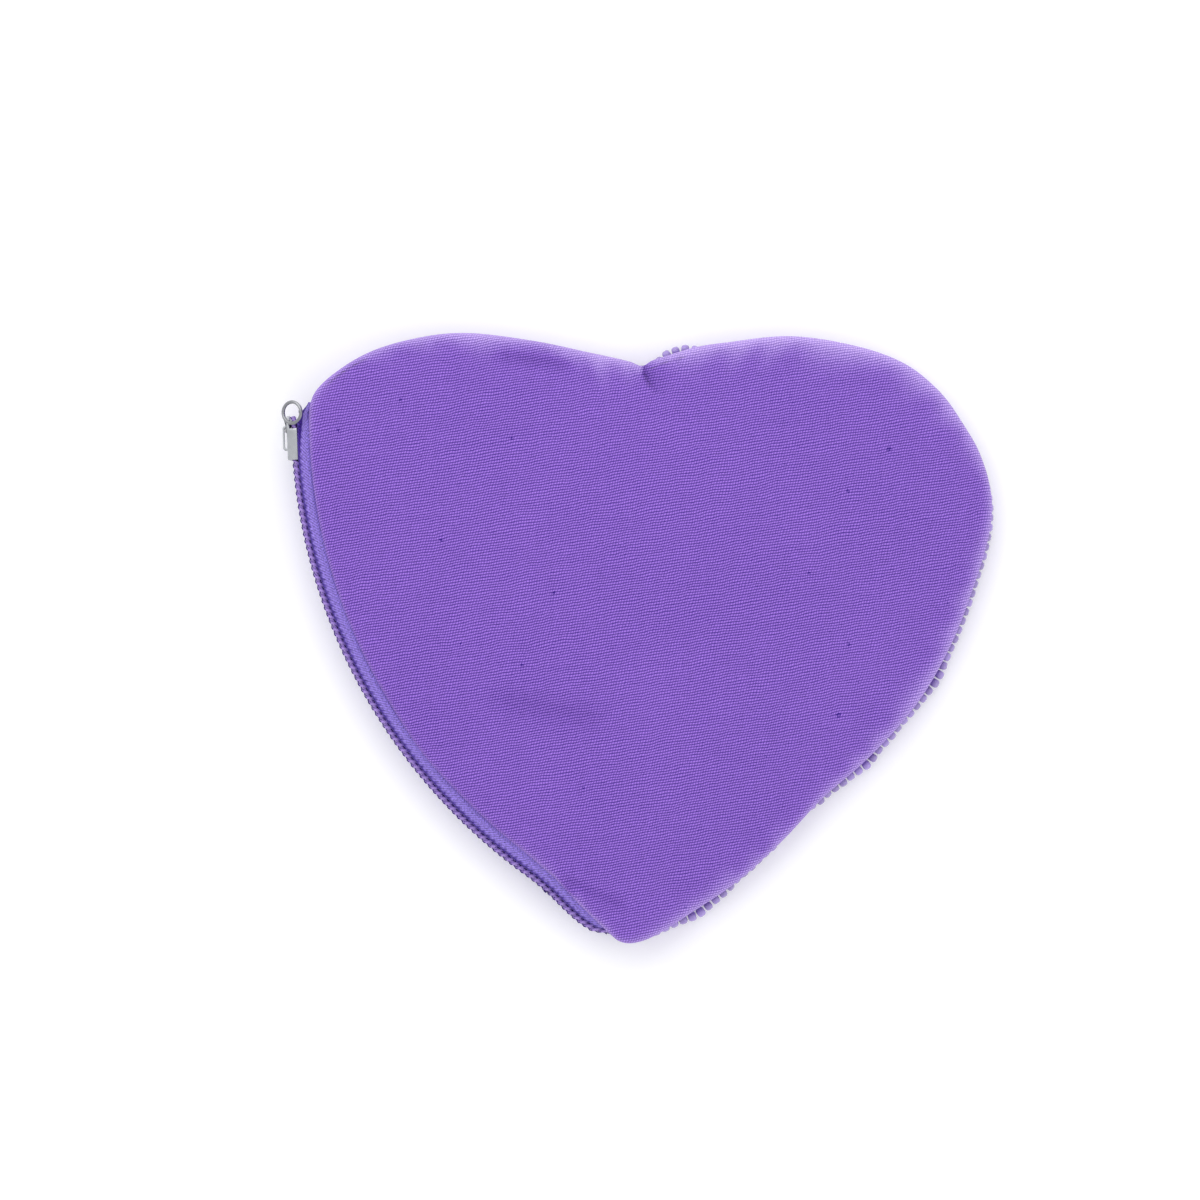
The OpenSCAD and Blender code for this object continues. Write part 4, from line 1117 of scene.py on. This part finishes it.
def rounded_casting(name, node, width, material):
    """A casting with tumbled edges: a copy of the solid's mesh with its doubles merged and its
    flat faces joined, so that a Bevel can round every edge."""
    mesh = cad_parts[node].data.copy()
    mesh.name = name
    work = bmesh.new()
    work.from_mesh(mesh)
    bmesh.ops.remove_doubles(work, verts=work.verts, dist=1e-6)
    bmesh.ops.dissolve_limit(work, angle_limit=math.radians(1), verts=work.verts,
                             edges=work.edges)
    work.to_mesh(mesh)
    work.free()
    mesh.polygons.foreach_set("use_smooth", np.ones(len(mesh.polygons), bool))
    mesh.materials.clear()
    mesh.materials.append(material)
    obj = bpy.data.objects.new(name, mesh)
    bpy.context.scene.collection.objects.link(obj)
    soft = obj.modifiers.new("tumbled_edges", "BEVEL")
    soft.width, soft.segments, soft.limit_method = width, 3, "ANGLE"
    soft.angle_limit = math.radians(25)
    soft.harden_normals = True
    return obj


class PURSE_OT_slider(bpy.types.Operator):
    """Plates the slider and its ring"""
    bl_idname = "purse.slider"
    bl_label = "Slider and ring"

    def execute(self, context):
        colours = context.scene.purse_colours
        metal = plated_material("Zinc alloy, die cast and nickel plated", colours.metal)
        body = rounded_casting("slider_casting", "slider_body", 0.00026, metal)
        seat(body, "metal", "slider_body", body="slider")
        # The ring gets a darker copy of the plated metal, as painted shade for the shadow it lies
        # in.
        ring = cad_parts["ring_pull"]
        ring.data.materials.clear()
        ring.data.materials.append(
            plated_material("Zinc alloy, plated, darker copy for painted shade", colours.ring))
        return {"FINISHED"}


# Stage

FLOOR_HALF, FLOOR_Z = 3000, -0.05
LENS, SENSOR, VIEW_WIDTH = 150, 36, 0.228


class PURSE_OT_stage(bpy.types.Operator):
    """Sets the plain floor, the soft lights and the camera straight above"""
    bl_idname = "purse.stage"
    bl_label = "Stage"

    def execute(self, context):
        scene = context.scene
        corners = [(x * FLOOR_HALF, y * FLOOR_HALF, FLOOR_Z)
                   for x, y in ((-1, -1), (1, -1), (1, 1), (-1, 1))]
        floor = put_mesh("floor", corners, [[0, 1, 2, 3]],
                         floor_material("Pale panel, matt", scene.purse_colours.floor))
        world = bpy.data.worlds.new("Soft daylight")
        world.use_nodes = True
        plug(world.node_tree.nodes["Background"], Color=(0.97, 0.98, 1, 1), Strength=0.88)
        scene.world = world
        for name, place, width, power in (("overhead", (-0.45, 0.75, 0.9), 1.3, 6.5),
                                          ("side", (0.9, -0.5, 0.7), 1.0, 2.5)):
            lamp = bpy.data.lights.new(name, "AREA")
            lamp.energy, lamp.size = power, width
            obj = bpy.data.objects.new(name, lamp)
            obj.location = place
            obj.rotation_mode = "QUATERNION"
            obj.rotation_quaternion = (-obj.location).to_track_quat("-Z", "Y")
            scene.collection.objects.link(obj)
        camera = bpy.data.cameras.new("above")
        camera.lens = LENS
        camera.clip_start, camera.clip_end = 0.01, 10
        obj = bpy.data.objects.new("above", camera)
        obj.location = (-0.0075, 0.0072, 0.005 + VIEW_WIDTH * LENS / SENSOR)
        scene.collection.objects.link(obj)
        scene.camera = obj
        scene.view_settings.view_transform = "Standard"
        return {"FINISHED"}


OPERATORS = (PURSE_OT_stage, PURSE_OT_back_cloth, PURSE_OT_inner_layers, PURSE_OT_beaded_front,
             PURSE_OT_zip_tapes, PURSE_OT_zip_coils, PURSE_OT_slider)


class PURSE_PT_panel(bpy.types.Panel):
    """Lists the purse's sizes, colours and pieces"""
    bl_idname = "PURSE_PT_panel"
    bl_label = "Heart purse"
    bl_space_type = "VIEW_3D"
    bl_region_type = "UI"
    bl_category = "Heart purse"

    def draw(self, context):
        for group in (context.scene.purse_sizes, context.scene.purse_colours):
            for key in group.__annotations__:
                self.layout.prop(group, key)
        for operator in OPERATORS:
            self.layout.operator(operator.bl_idname)


CLASSES = (PurseSizes, PurseColours, *OPERATORS, PURSE_PT_panel)


def register():
    for cls in CLASSES:
        bpy.utils.register_class(cls)
    bpy.types.Scene.purse_sizes = bpy.props.PointerProperty(type=PurseSizes)
    bpy.types.Scene.purse_colours = bpy.props.PointerProperty(type=PurseColours)


def unregister():
    del bpy.types.Scene.purse_colours
    del bpy.types.Scene.purse_sizes
    for cls in reversed(CLASSES):
        bpy.utils.unregister_class(cls)


def main():
    """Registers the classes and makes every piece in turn."""
    register()
    bpy.ops.purse.stage()
    bpy.ops.purse.back_cloth()
    bpy.ops.purse.inner_layers()
    bpy.ops.purse.beaded_front()
    bpy.ops.purse.zip_tapes()
    bpy.ops.purse.zip_coils()
    bpy.ops.purse.slider()


if __name__ == "__main__":
    main()
